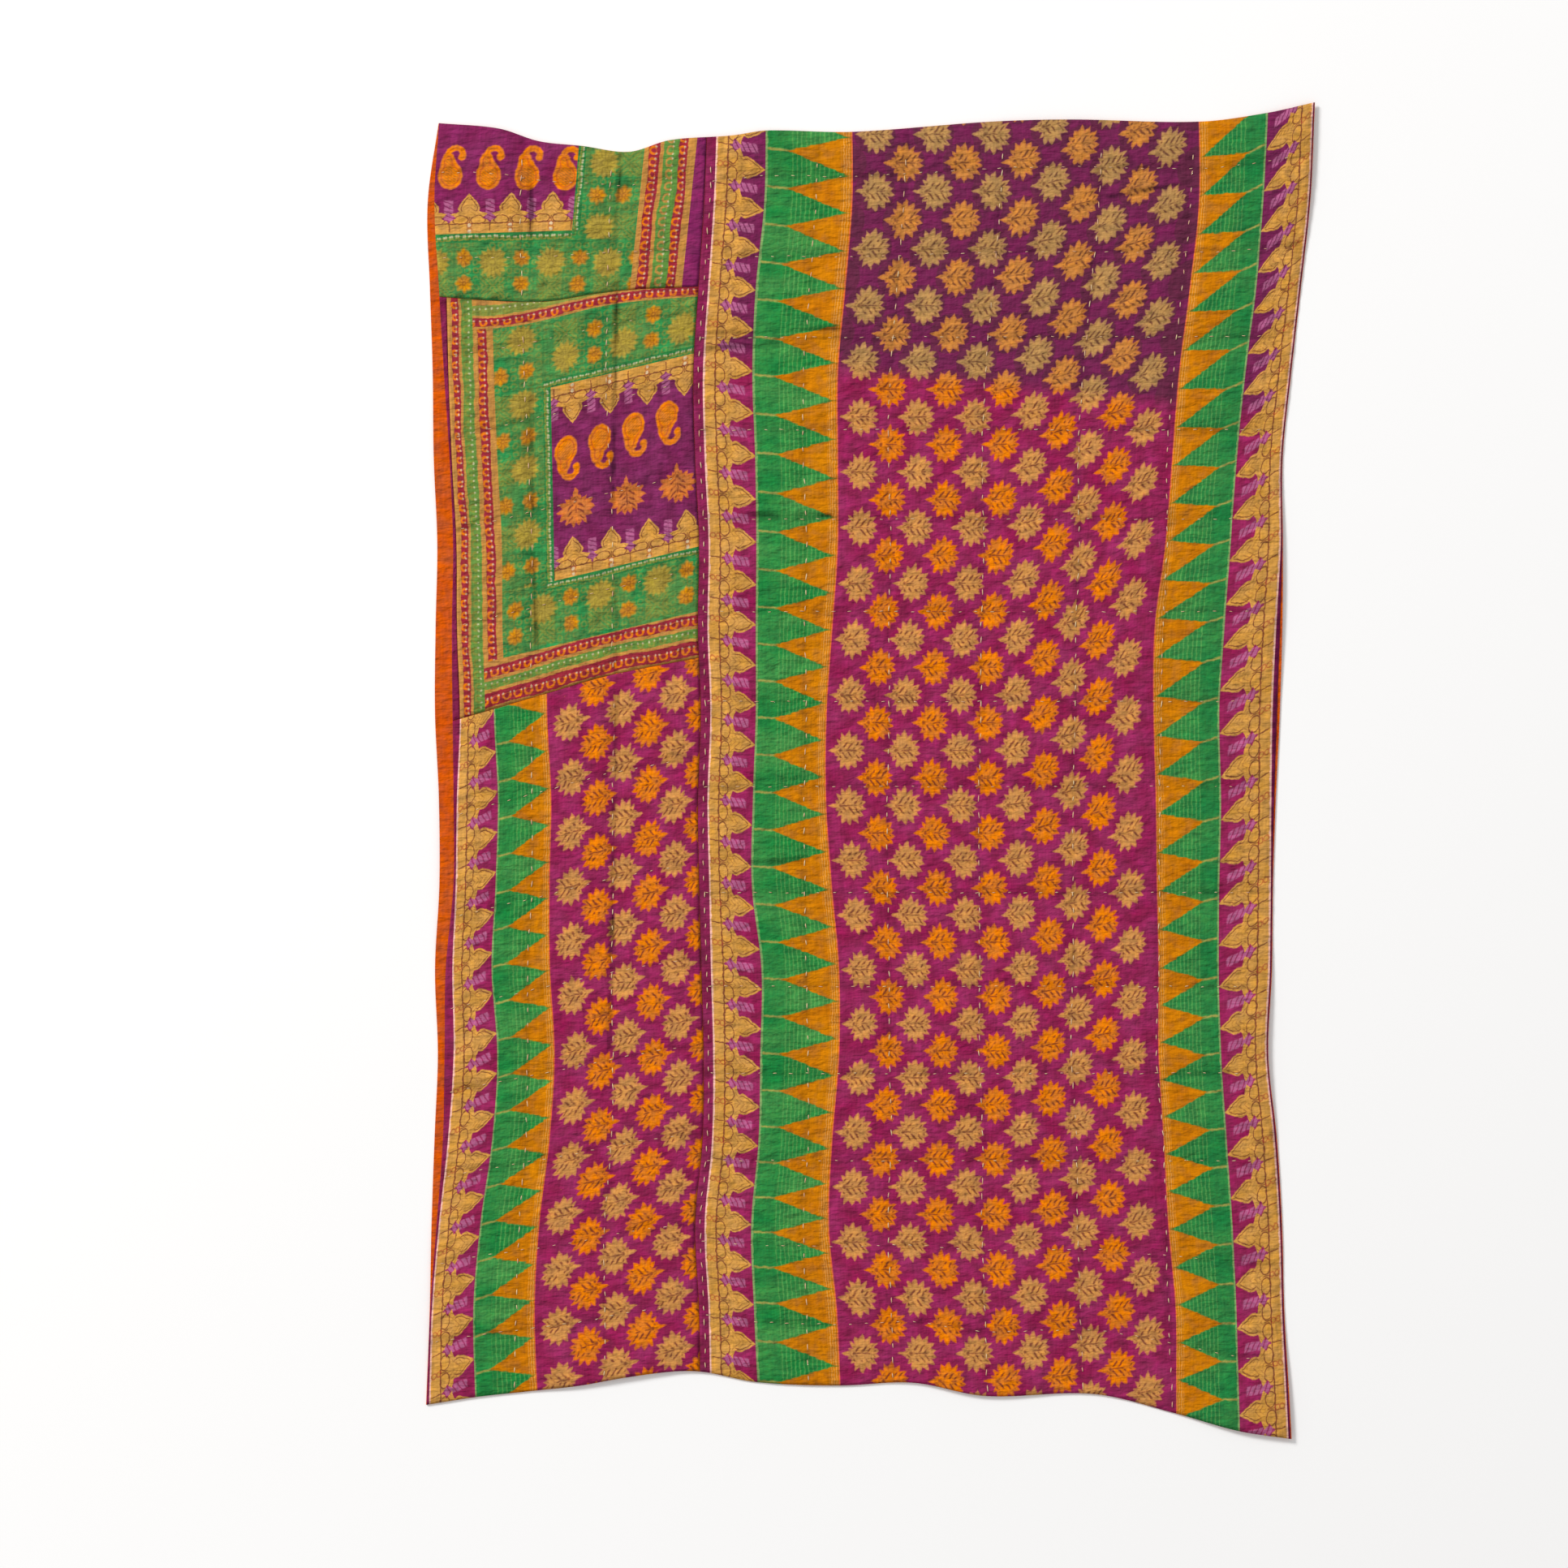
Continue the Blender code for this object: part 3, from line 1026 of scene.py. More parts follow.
def paint_lotus(canvas: Canvas, x: Field, along: Field, repeat: float) -> None:
    """Draws a gold edge band with lotuses that stand on it and pink zigzags between them.

    Args:
        canvas: the cloth's material.
        x: the distance from the band's outer edge, for a border of LOTUS_DEPTH.
        along: the distance along the band, in mm.
        repeat: the lotuses' spacing.
    """
    # Half the lotus's breadth at each distance from the edge
    outline = (
        (0.0, 40.0), (21.0, 40.0), (23.0, 34.0), (27.0, 33.0), (30.0, 27.0), (32.0, 23.0),
        (35.0, 27.0), (41.0, 33.0), (43.5, 24.0), (46.0, 17.0), (50.0, 18.5), (54.0, 19.0),
        (59.0, 17.0), (66.0, 12.5), (73.0, 7.6), (79.0, 3.4), (83.0, 0.0),
    )
    scale = LOTUS_SPACING / repeat
    y = along.repeat(repeat) * scale
    gap = (along + repeat / 2).repeat(repeat) * scale
    points = [(place / LOTUS_DEPTH, half / LOTUS_HALF) for place, half in outline]
    breadth = add(canvas.tree, "ShaderNodeFloatCurve", {"Value": x / LOTUS_DEPTH}, curve=points)
    inside = breadth * LOTUS_HALF - abs(y)
    petals = inside.above(0.0, 2.0)
    # The pink zigzag on the ground between two lotuses
    step = (x - 50.0 + gap * 0.5).repeat(9.4)
    lozenge = abs(gap).below(7.8, 2.4) * abs(step).below(3.6, 2.0)
    canvas.paint(lozenge * x.within(25.0, 70.0, 3.0) * 0.8, Ink.PINK)
    canvas.paint(petals, Ink.OCHRE)
    canvas.paint(petals * canvas.mottle(24.0).above(0.5, 0.3) * 0.8, Ink.OCHRE_LIGHT)
    # Dark outlines: two round lobes, the band's edge, the tall petal and strokes across it
    ring = ((x - 28.0) * 1.5).length(abs(y) - 15.5) - 13.0
    lines = abs(ring).below(1.1, 1.8) * x.within(18.0, 39.0, 1.0)
    lines = lines.highest(abs(x - 20.5).below(1.1, 1.6))
    lines = lines.highest(abs(y).below(0.8, 1.6) * x.within(20.0, 34.0, 2.0))
    lines = lines.highest(abs(gap).below(1.0, 1.6) * x.within(4.0, 24.0, 2.0))
    lines = lines.highest(abs(inside - 4.5).below(0.9, 1.8) * x.within(46.0, 76.0, 2.0))
    canvas.paint(lines * petals * 0.85, Ink.BROWN)
    slanting = abs((x + abs(y) * 0.9).repeat(8.0)).below(0.9, 1.8) * x.within(34.0, 62.0, 4.0)
    canvas.paint(slanting * petals * canvas.mottle(70.0).above(0.48, 0.2) * 0.5, Ink.BROWN)
    # A small knot of two loops on the band
    knot = abs((abs(x - 12.5) - 4.6).length(y * 0.9) - 4.0).below(0.9, 1.6)
    canvas.paint(knot * 0.7, Ink.RUST)


@dataclass(frozen=True)
class LeafPrint:
    """Block-printed leaves on the sari's purple ground, orange and gold in turn.

    The rows of the two colours stand half a repeat apart both ways, so every leaf lies
    in a diamond of its own.
    """

    name: str
    pitch_across: float
    pitch_along: float
    first_across: float
    size: float
    towards: int
    # Orange leaves lie wholly between these places, and none is cut by the band beside it
    orange_from: float = 30.0
    orange_to: float = 545.0

    def make(self) -> bpy.types.Material:
        """Builds the material.

        Returns:
            The material.
        """
        canvas = Canvas(self.name, Ink.PURPLE, Ink.PURPLE_FADED, 0.5)
        upper = canvas.upper()
        canvas.paint(upper, Ink.PURPLE_DEEP)
        u = canvas.x - self.first_across
        v = canvas.y
        near = abs(u.repeat(self.pitch_across)) / (self.pitch_across / 2)
        near = near + abs(v.repeat(self.pitch_along)) / (self.pitch_along / 2)
        gold = near.above(1.0, 0.001)
        dx = (u - gold * (self.pitch_across / 2)).repeat(self.pitch_across) * -self.towards
        dy = (v - gold * (self.pitch_along / 2)).repeat(self.pitch_along)
        orange = (1.0 - gold) * canvas.x.within(self.orange_from, self.orange_to)
        paint_leaf(canvas, dx, dy, self.size, gold, orange)
        # On the dark part the same inks lie duller
        change = {"Hue": 0.512, "Saturation": 0.93, "Value": 0.76, "Color": canvas.colour}
        dull = add(canvas.tree, "ShaderNodeHueSaturation", change)
        canvas.paint(upper * dx.length(dy).below(self.size, 1.0), dull)
        return canvas.finish(Weave.SARI)


@dataclass(frozen=True)
class LotusBorder:
    """The sari's gold lotus border: a banded edge with petals that point into the cloth."""

    name: str
    repeat: float
    width: float
    mirrored: bool = False

    def make(self) -> bpy.types.Material:
        """Builds the material.

        Returns:
            The material.
        """
        canvas = Canvas(self.name, Ink.PURPLE, Ink.PURPLE_FADED, 0.45)
        canvas.paint(canvas.upper(), Ink.PURPLE_DEEP)
        x = canvas.x * ((-LOTUS_DEPTH if self.mirrored else LOTUS_DEPTH) / self.width)
        paint_lotus(canvas, x, canvas.y, self.repeat)
        canvas.paint(x.below(2.8, 1.4), Ink.BLUSH)
        return canvas.finish(Weave.SARI)


@dataclass(frozen=True)
class TempleBand:
    """A woven temple band: orange points on a green base, which leave thin tails."""

    name: str
    repeat: float
    width: float
    mirrored: bool = False

    def make(self) -> bpy.types.Material:
        """Builds the material.

        Returns:
            The material.
        """
        ground = Ink.GREEN_DARK if self.mirrored else Ink.GREEN
        canvas = Canvas(self.name, ground, Ink.GREEN_DEEP, 0.6)
        faded = 0.3 if self.mirrored else 0.6
        canvas.paint(canvas.mottle(6.0, 1.0, 2.4).above(0.52, 0.2) * faded, Ink.GREEN_WORN)
        x = self.width - canvas.x if self.mirrored else canvas.x
        y = canvas.y.repeat(self.repeat)
        share = x / self.width
        # The dye has run along single weft threads, so the points' sides are feathered
        feather = canvas.mottle(1.0, 14.0, 300.0) - 0.5
        slant = abs(y) * (2 * 0.7 / self.repeat) + 0.25
        deep = share - slant + feather * 0.12
        scroll = abs((x - 16.0).repeat(17.0).length(canvas.y.repeat(19.0)) - 6.0).below(1.0, 2.4)
        canvas.paint(scroll * share.below(0.36, 0.1) * 0.4, Ink.GREEN_SCROLL)
        lines = abs(x.repeat(7.3)).below(0.8, 1.8) * share.above(0.3, 0.04)
        canvas.paint(lines * 0.3, Ink.GREEN_LINE)
        tail = abs(y).below(1.6, 2.6) * share.within(0.02, 0.32, 0.04)
        canvas.paint(tail * 0.7, Ink.TAIL)
        canvas.paint(deep.above(0.0, 0.03), Ink.TEMPLE_ORANGE)
        orange = deep.above(0.02, 0.03)
        canvas.paint(orange * canvas.mottle(18.0).above(0.5, 0.3) * 0.5, Ink.TEMPLE_LIGHT)
        # Where the two dyes meet the threads turn olive
        canvas.paint(abs(deep).below(0.012, 0.03) * 0.6, Ink.OLIVE)
        point = abs(abs(y) - self.repeat / 2).below(1.2, 2.0) * share.above(0.9, 0.03)
        canvas.paint(point * 0.6, Ink.POINT)
        light = abs(x.repeat(4.2)).below(0.8, 1.4) * share.above(0.88, 0.04)
        canvas.paint(light * orange * 0.4, Ink.TEMPLE_LINE)
        canvas.paint(share.above(0.985, 0.01) * 0.8, Ink.TEMPLE_EDGE)
        canvas.paint(share.below(0.026, 0.012) * 0.7, Ink.GREEN_EDGE)
        return canvas.finish(Weave.SARI)


@dataclass(frozen=True)
class PlainGround:
    """Plain dyed cotton with no print, as at the sari's selvage."""

    name: str
    ground: str
    faded: str = Ink.PURPLE_FADED

    def make(self) -> bpy.types.Material:
        """Builds the material."""
        return Canvas(self.name, self.ground, self.faded, 0.35).finish(Weave.SARI)


class Run(Enum):
    """Which way a striped border runs."""

    DOWN = "down"
    ACROSS = "across"


@dataclass(frozen=True)
class DottedStripe:
    """A stripe of small cups with dots at their tips, at one place of a border, in mm."""

    middle: float
    half: float
    pitch: float
    cup: str
    dot: str = Ink.WHITE


@dataclass(frozen=True)
class StripedBorder:
    """A printed border of gold lines and dotted stripes beside a green field.

    stripes holds each stripe's start, in mm from the border's edge, and its colour.
    """

    name: str
    run: Run
    width: float
    stripes: tuple[tuple[float, str], ...]
    dotted: tuple[DottedStripe, ...]

    def make(self) -> bpy.types.Material:
        """Builds the material.

        Returns:
            The material.
        """
        canvas = Canvas(self.name, Ink.GREEN, Ink.GREEN_DEEP, 0.5)
        if self.run is Run.DOWN:
            place, along = canvas.x, canvas.y
        else:
            place, along = canvas.y, canvas.x
        # The stitches have drawn the stripes out of line
        place = place + (canvas.mottle(13.0) - 0.5) * 11.0
        flat: list[tuple[float, str]] = []
        for k, (start, ink) in enumerate(self.stripes):
            end = self.stripes[k + 1][0] if k + 1 < len(self.stripes) else self.width
            flat += [((start + 0.7) / self.width, ink), ((end - 0.7) / self.width, ink)]
        ramp = {0: place / self.width}
        canvas.colour = add(canvas.tree, "ShaderNodeValToRGB", ramp, stripes=flat)
        for stripe in self.dotted:
            s = place - stripe.middle
            t = along.repeat(stripe.pitch)
            cup = abs((s + stripe.half * 0.15).length(t) - stripe.half * 0.72)
            cup = cup.below(2.0, 2.0) * s.below(stripe.half * 0.35, 1.5)
            canvas.paint(cup * abs(s).below(stripe.half) * 0.85, stripe.cup)
            dot = (s - stripe.half * 0.35).length(abs(t) - stripe.half * 0.75).below(1.6, 2.0)
            canvas.paint(dot * 0.62, stripe.dot)
        return canvas.finish(Weave.SARI)


def beaded_line(name: str, run: Run, width: float) -> bpy.types.Material:
    """A green line of small white beads with faint gold cups.

    Args:
        name: the material's name.
        run: which way it runs.
        width: its breadth in mm.

    Returns:
        The material.
    """
    beads = DottedStripe(width / 2, width * 0.34, 11.0, Ink.OLIVE_GOLD)
    flat = ((0.0, Ink.FIELD_GREEN), (width / 2, Ink.FIELD_GREEN))
    return StripedBorder(name, run, width, flat, (beads,)).make()


class Facing(Enum):
    """Which way the green border's flowers face: each (sideways, outwards) as x and y."""

    DOWN = ((1.0, 0.0), (0.0, 1.0))
    UP = ((1.0, 0.0), (0.0, -1.0))
    LEFT = ((0.0, 1.0), (1.0, 0.0))
    RIGHT = ((0.0, 1.0), (-1.0, 0.0))


@dataclass(frozen=True)
class FlowerField:
    """A green border of large gold daisies between pairs of small orange ones.

    first is the first daisy's middle, in mm. The border runs round a purple panel, and
    its flowers face away from that.
    """

    name: str
    pitch: float
    depth: float
    first: tuple[float, float]
    facing: Facing = Facing.DOWN

    def make(self) -> bpy.types.Material:
        """Builds the material.

        Returns:
            The material.
        """
        canvas = Canvas(self.name, Ink.FIELD_GREEN, Ink.FIELD_FADED, 0.8)
        canvas.paint(canvas.mottle(11.0, 1.5, 0.8).above(0.5, 0.16) * 0.4, Ink.FIELD_WORN)
        side, out = self.facing.value
        x, y = canvas.x - self.first[0], canvas.y - self.first[1]
        u = x * side[0] + y * side[1]
        v = x * out[0] + y * out[1]
        # A faint tangle of small leaves covers the ground, with a square of them under each daisy
        tangle = abs((u.repeat(15.0)).length(v.repeat(15.0)) - 4.5).below(1.4, 2.6)
        canvas.paint(tangle * canvas.mottle(30.0).above(0.46, 0.2) * 0.6, Ink.OLIVE_GOLD)
        dx, dy = u.repeat(self.pitch), (v + 41.0).repeat(self.depth)
        square = abs(dx).highest(abs(dy)).below(22.0, 5.0)
        leafy = abs((abs(dx) - abs(dy)).repeat(9.0)).below(2.6, 2.6) * square
        canvas.paint(square * 0.16, Ink.OLIVE_GOLD)
        canvas.paint(leafy * 0.6, Ink.OLIVE_GOLD)
        self.daisy(canvas, dx, v.repeat(self.depth), 27.5, 15, Ink.DAISY, Ink.DAISY_LINE)
        ox = (u + self.pitch / 2).repeat(self.pitch)
        for rise in (-8.0, 38.0):
            oy = (v + rise).repeat(self.depth)
            self.daisy(canvas, ox, oy, 15.5, 8, Ink.ORANGE_DEEP, Ink.FLOWER_LINE)
        return canvas.finish(Weave.SARI)

    @staticmethod
    def daisy(
        canvas: Canvas, dx: Field, dy: Field, radius: float, petals: int, ink: str, heart: str
    ) -> None:
        """Draws one flower.

        Args:
            canvas: the cloth's material.
            dx: the distance across from its middle, in mm.
            dy: the distance along from it.
            radius: the flower's reach.
            petals: how many petals it has.
            ink: the petals' colour.
            heart: the colour of the lines between them.
        """
        reach = dx.length(dy)
        spoke = abs((dx.turn(dy) * petals).repeat(1.0)) * 2
        worn = (canvas.mottle(48.0) - 0.5) * 12.0
        edge = (1.0 - spoke * 0.24) * radius - reach + worn
        body = edge.above(0.0, 6.0)
        canvas.paint(body * 0.93, ink)
        lines = spoke.above(0.66, 0.5) * reach.above(radius * 0.3, 3.0)
        canvas.paint(lines * body * 0.5, heart)
        canvas.paint(abs(reach - radius * 0.2).below(1.2, 2.4) * 0.6, heart)


@dataclass(frozen=True)
class PaisleyPanel:
    """A purple panel of orange paisleys and leaves between lotus bands.

    paisley holds the paisleys' spacing, the first one's place across, their height over
    the foot, and their breadth, in mm. leaves holds the same for the row of leaves.
    """

    name: str
    ground: str
    height: float
    paisley: tuple[float, float, float, float]
    leaves: tuple[float, float, float, float] | None
    lotus: tuple[float, float, float]
    top_lotus: float | None
    upright: int
    # How far the row of paisleys rises across the panel, over its width
    lean: float

    def make(self) -> bpy.types.Material:
        """Builds the material.

        Returns:
            The material.
        """
        canvas = Canvas(self.name, self.ground, Ink.PANEL_FADED, 0.45)
        self.draw_paisleys(canvas)
        if self.leaves:
            pitch, first, level, size = self.leaves
            dx = (canvas.x - first).repeat(pitch)
            paint_leaf(canvas, (canvas.y - level) * -1, dx, size, 0.25, 0.75)
        pitch, first, depth = self.lotus
        bands = [(canvas.y, first)]
        if self.top_lotus is not None:
            bands.append((self.height - canvas.y, self.top_lotus))
        for inwards, start in bands:
            along = canvas.x - start
            paint_lotus(canvas, inwards * (LOTUS_DEPTH / depth), along, pitch)
            self.draw_knots(canvas, inwards, along, pitch)
        return canvas.finish(Weave.SARI)

    def draw_paisleys(self, canvas: Canvas) -> None:
        """Draws the row of paisleys, each an egg whose neck bends round to a hook.

        Args:
            canvas: the cloth's material.
        """
        pitch, first, level, breadth = self.paisley
        scale = 40.0 / breadth
        dx = (canvas.x - first).repeat(pitch) * scale
        dy = (canvas.y - level - canvas.x * self.lean) * (self.upright * scale)
        belly = (dx * 1.02).length((dy + 13.0) * 0.86) - 19.0
        neck = (dx + 4.5).length((dy - 10.0) * 0.7) - 10.0
        bend = abs((dx - 6.5).length(dy - 20.0) - 11.0) - 4.6
        bend = bend.highest(18.0 - dy)
        drop = (dx - 16.0).length(dy - 17.0) - 5.6
        values = {0: belly, 1: neck, 2: 12.0}
        egg = add(canvas.tree, "ShaderNodeMath", values, operation="SMOOTH_MIN")
        shape = egg.lowest(bend).lowest(drop)
        shown = canvas.x.below(first + pitch * 3.5)
        canvas.paint(shape.below(0.0, 2.4) * shown, Ink.ORANGE)
        canvas.paint(abs(egg + 5.0).below(0.9, 2.0) * shown * 0.6, Ink.RUST)
        hatch = abs((dx + dy * 1.4).repeat(6.0)).below(1.2, 2.0) * egg.below(-7.0, 2.0)
        canvas.paint(hatch * shown * 0.6, Ink.HATCH)
        canvas.paint(abs(bend + 4.4).below(0.6, 1.6) * shown * 0.4, Ink.RUST)

    @staticmethod
    def draw_knots(canvas: Canvas, up: Field, along: Field, pitch: float) -> None:
        """Draws the pairs of white dots at the lotuses' feet.

        Args:
            canvas: the cloth's material.
            up: the distance from the band's outer edge.
            along: the distance along it.
            pitch: the lotuses' spacing.
        """
        y = along.repeat(pitch)
        dots = (abs(up - 9.0) - 5.0).length(y).below(3.0, 2.0)
        canvas.paint(dots * 0.65, Ink.WHITE)


@dataclass(frozen=True)
class BackingCotton:
    """Plain orange cotton, faded where the quilt has rubbed."""

    name: str = "faded_orange_plain_weave_cotton"

    def make(self) -> bpy.types.Material:
        """Builds the material."""
        return Canvas(self.name, Ink.BACKING, Ink.BACKING_FADED, 0.35).finish(Weave.BACKING)


@dataclass(frozen=True)
class Thread:
    """Soft cotton quilting thread, matt, its colour a little uneven along the rows."""

    name: str
    light: str
    dark: str

    def make(self) -> bpy.types.Material:
        """Builds the material.

        Returns:
            The material.
        """
        material = blank_material(self.name)
        tree = material.node_tree
        place = add(tree, "ShaderNodeTexCoord", {}, "Object")
        noise = add(tree, "ShaderNodeTexNoise", {"Vector": place, "Scale": 14.0, "Detail": 1.0})
        mixed = add(
            tree,
            "ShaderNodeMix",
            {0: noise.above(0.5, 0.3), 6: self.light, 7: self.dark},
            2,
            data_type="RGBA",
        )
        values = {"Base Color": mixed, "Roughness": 0.8, "Sheen Weight": 0.2}
        shader = add(tree, "ShaderNodeBsdfPrincipled", values)
        add(tree, "ShaderNodeOutputMaterial", {0: shader})
        return material


# The pieces


Slip = Callable[[np.ndarray, np.ndarray], np.ndarray]
Marks = tuple[tuple[float, float], ...]


def level_weft(across: np.ndarray, along: np.ndarray) -> np.ndarray:
    """No slip: the weft lies straight across the quilt."""
    return np.zeros_like(across)


def leaning(edge: Line, leans: Sequence[tuple[float, float]]) -> Slip:
    """How far the weft has slipped up the quilt at each place past an edge.

    Args:
        edge: the line where the slip is nought.
        leans: pairs of a place along the quilt in mm, rising, and the weft's slope there.

    Returns:
        A function of the places across and along, which gives millimetres.
    """
    places = [place for place, _ in leans]
    slopes = [slope for _, slope in leans]

    def slip(across: np.ndarray, along: np.ndarray) -> np.ndarray:
        """The slip at each place."""
        return np.interp(along, places, slopes) * (across - edge(along))

    return slip


class Strip(NamedTuple):
    """One part of a cloth's print: its finish, where it starts, and how its repeats run.

    origin is where its own measure starts on the cloth, across. Along the cloth the print
    runs in repeats from marks of (place in mm, count of repeats), after the weft's slip.
    With a foot it runs in mm from that line instead.
    """

    material: bpy.types.Material
    origin: float = 0.0
    repeat: float = 1.0
    marks: Marks = ((0.0, 0.0), (1.0, 1.0))
    slip: Slip = level_weft
    foot: Line | None = None

    def place(self, across: np.ndarray, along: np.ndarray) -> np.ndarray:
        """The print's own place along the cloth, in mm.

        Args:
            across: places across, in mm.
            along: places along.

        Returns:
            Places along the print.
        """
        if self.foot is not None:
            return along - self.foot(across)
        stops = [mark for mark, _ in self.marks]
        counts = [count for _, count in self.marks]
        return self.repeat * spline(stops, counts, along - self.slip(across, along))


@dataclass(frozen=True)
class Cloth:
    """One cloth of the quilt: a fine sheet with its edges turned down to the backing."""

    name: str
    node: str
    slot: str
    flat: tuple[float, float]
    bed: Bed
    strips: dict[tuple[int, int], Strip]
    quilting: Quilting
    # Shares of the width where a line of stitches runs down the cloth
    stitched: tuple[float, ...]

    def surface(self, across: np.ndarray, along: np.ndarray, level: np.ndarray) -> np.ndarray:
        """The face's height over the floor.

        Args:
            across: places across, in mm.
            along: places along.
            level: the places along, if the ends were straight.

        Returns:
            Heights in mm.
        """
        seat = FACE_SEAT + lift(across, along) + crease_height(across, along)
        seat = seat - FOLD_DEPTH * np.exp(-((fold_distance(across, along) / FOLD_HALF) ** 2))
        return seat + self.quilting.height(across, along, level)

    def build(self) -> bpy.types.Object:
        """Makes the cloth's mesh, with its prints, their places on it, and its painted shade.

        Returns:
            The cloth.
        """
        p = self.bed.stops(self.bed.columns)
        q = self.bed.stops(self.bed.rows)
        # A second row and column of points at each edge turn it down
        columns = np.concatenate([[p[0]], p, [p[-1]]])
        rows = np.concatenate([[q[0]], q, [q[-1]]])
        across, along = self.bed.lay(columns, rows)
        levels = np.interp(rows, np.arange(len(self.bed.rows)), self.bed.levels())
        level = np.broadcast_to(levels[:, None], across.shape)
        top = self.surface(across, along, level)
        skirt = SKIRT_HEIGHT + lift(across, along)
        top[0], top[-1] = skirt[0], skirt[-1]
        top[:, 0], top[:, -1] = skirt[:, 0], skirt[:, -1]
        mesh = bmesh.new()
        segments = {"x_segments": len(columns) - 1, "y_segments": len(rows) - 1}
        bmesh.ops.create_grid(mesh, size=0.5, **segments)
        data = finished(self.name, mesh)
        points = np.empty(len(data.vertices) * 3, np.float32)
        data.vertices.foreach_get("co", points)
        points = points.reshape(-1, 3)
        column = np.rint((points[:, 0] + 0.5) * (len(columns) - 1)).astype(int)
        row = np.rint((points[:, 1] + 0.5) * (len(rows) - 1)).astype(int)
        placed = np.stack([across, along, top], axis=-1)[row, column]
        data.vertices.foreach_set("co", (placed * MM).astype(np.float32).ravel())
        self.print_on(data, columns[column], rows[row], placed)
        # Painted shade: strongest on the rows of stitches and the fold lines, read by the finish to
        # darken the dye
        near = self.quilting.nearest(across, along, level)
        fold_painted_shade = np.exp(-((fold_distance(across, along) / FOLD_SHADE_HALF) ** 2)) * FOLD_SHADE
        painted_shade_weight = np.maximum(np.exp(-near / ROW_SHADE_WIDTH), fold_painted_shade)[row, column]
        line = data.attributes.new("painted_row_and_fold_shade", "FLOAT", "POINT")
        line.data.foreach_set("value", painted_shade_weight.astype(np.float32))
        data.shade_smooth()
        cloth = in_scene(self.name, data)
        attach(cloth, ROOT)
        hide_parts(self.node)
        LOG.info("%s: %d faces", self.name, len(data.polygons))
        return cloth

    def print_on(
        self, data: bpy.types.Mesh, p: np.ndarray, q: np.ndarray, placed: np.ndarray
    ) -> None:
        """Gives each face its strip of print, and each corner its place on the cloth.

        Args:
            data: the cloth's mesh.
            p: each point's column, in guide numbers.
            q: each point's row, in guide numbers.
            placed: each point's place across, along and up, in mm.
        """
        corners = np.empty(len(data.loops), np.int32)
        data.loops.foreach_get("vertex_index", corners)
        quads = corners.reshape(-1, 4)
        zone_p = np.clip(np.floor(p[quads].mean(axis=1)), 0, len(self.bed.columns) - 2)
        zone_q = np.clip(np.floor(q[quads].mean(axis=1)), 0, len(self.bed.rows) - 2)
        marks = [guide.on_cloth for guide in self.bed.columns]
        u = np.interp(p[quads], np.arange(len(marks)), marks)
        across, along = placed[quads, 0], placed[quads, 1]
        print_u, print_v = u.copy(), along.copy()
        index = np.zeros(len(quads), np.int32)
        for k, ((column, row), strip) in enumerate(self.strips.items()):
            held = (zone_p == column) & (zone_q == row)
            if strip.material.name not in data.materials:
                data.materials.append(strip.material)
            index[held] = data.materials.find(strip.material.name)
            print_u[held] = u[held] - strip.origin
            print_v[held] = strip.place(across[held], along[held])
        data.polygons.foreach_set("material_index", index)
        for name, (us, vs) in {"cloth": (u, along), "print": (print_u, print_v)}.items():
            layer = data.uv_layers.new(name=name)
            pairs = np.stack([us.ravel(), vs.ravel()], axis=-1) * MM
            layer.data.foreach_set("uv", pairs.astype(np.float32).ravel())

    def stitch_lines(self, pitch: float, margin: float) -> list[np.ndarray]:
        """The rows of stitches, as points of (across, along, up) in mm.

        Args:
            pitch: from one stitch to the next.
            margin: how far the rows stay off the cloth's edges.

        Returns:
            One array of points for each row.
        """
        low, high = self.bed.levels()[0], self.bed.levels()[-1]
        lines: list[np.ndarray] = []
        for share in self.stitched:
            level = np.arange(low + margin, high - margin, pitch)
            across = np.full(level.shape, self.bed.columns[0].on_cloth, float)
            for _ in range(ROW_ROUNDS):
                along = self.bed.along_at(level, across)
                left, right = self.quilting.left(along), self.quilting.right(along)
                across = left + share * (right - left)
            lines.append(np.stack([across, along, self.surface(across, along, level)], axis=-1))
        for level_place in self.quilting.rows[1:-1]:
            first, last = self.bed.columns[0].line, self.bed.columns[-1].line
            left, right = float(first(level_place)), float(last(level_place))
            across = np.arange(left + margin, right - margin, pitch)
            level = np.full(across.shape, float(level_place))
            along = self.bed.along_at(level, across)
            lines.append(np.stack([across, along, self.surface(across, along, level)], axis=-1))
        return lines


BACKING_NAME = "backing_cloth"


def end_rows() -> tuple[Guide, ...]:
    """The rows of guides of a cloth that runs the quilt's whole length."""
    low, high = BOTTOM_LEVEL + EDGE_REACH, TOP_LEVEL - EDGE_REACH
    return (
        Guide(end_line(BOTTOM_END), BOTTOM_LEVEL),
        Guide(level_line(low), low),
        Guide(level_line(high), high),
        Guide(end_line(TOP_END), TOP_LEVEL),
    )


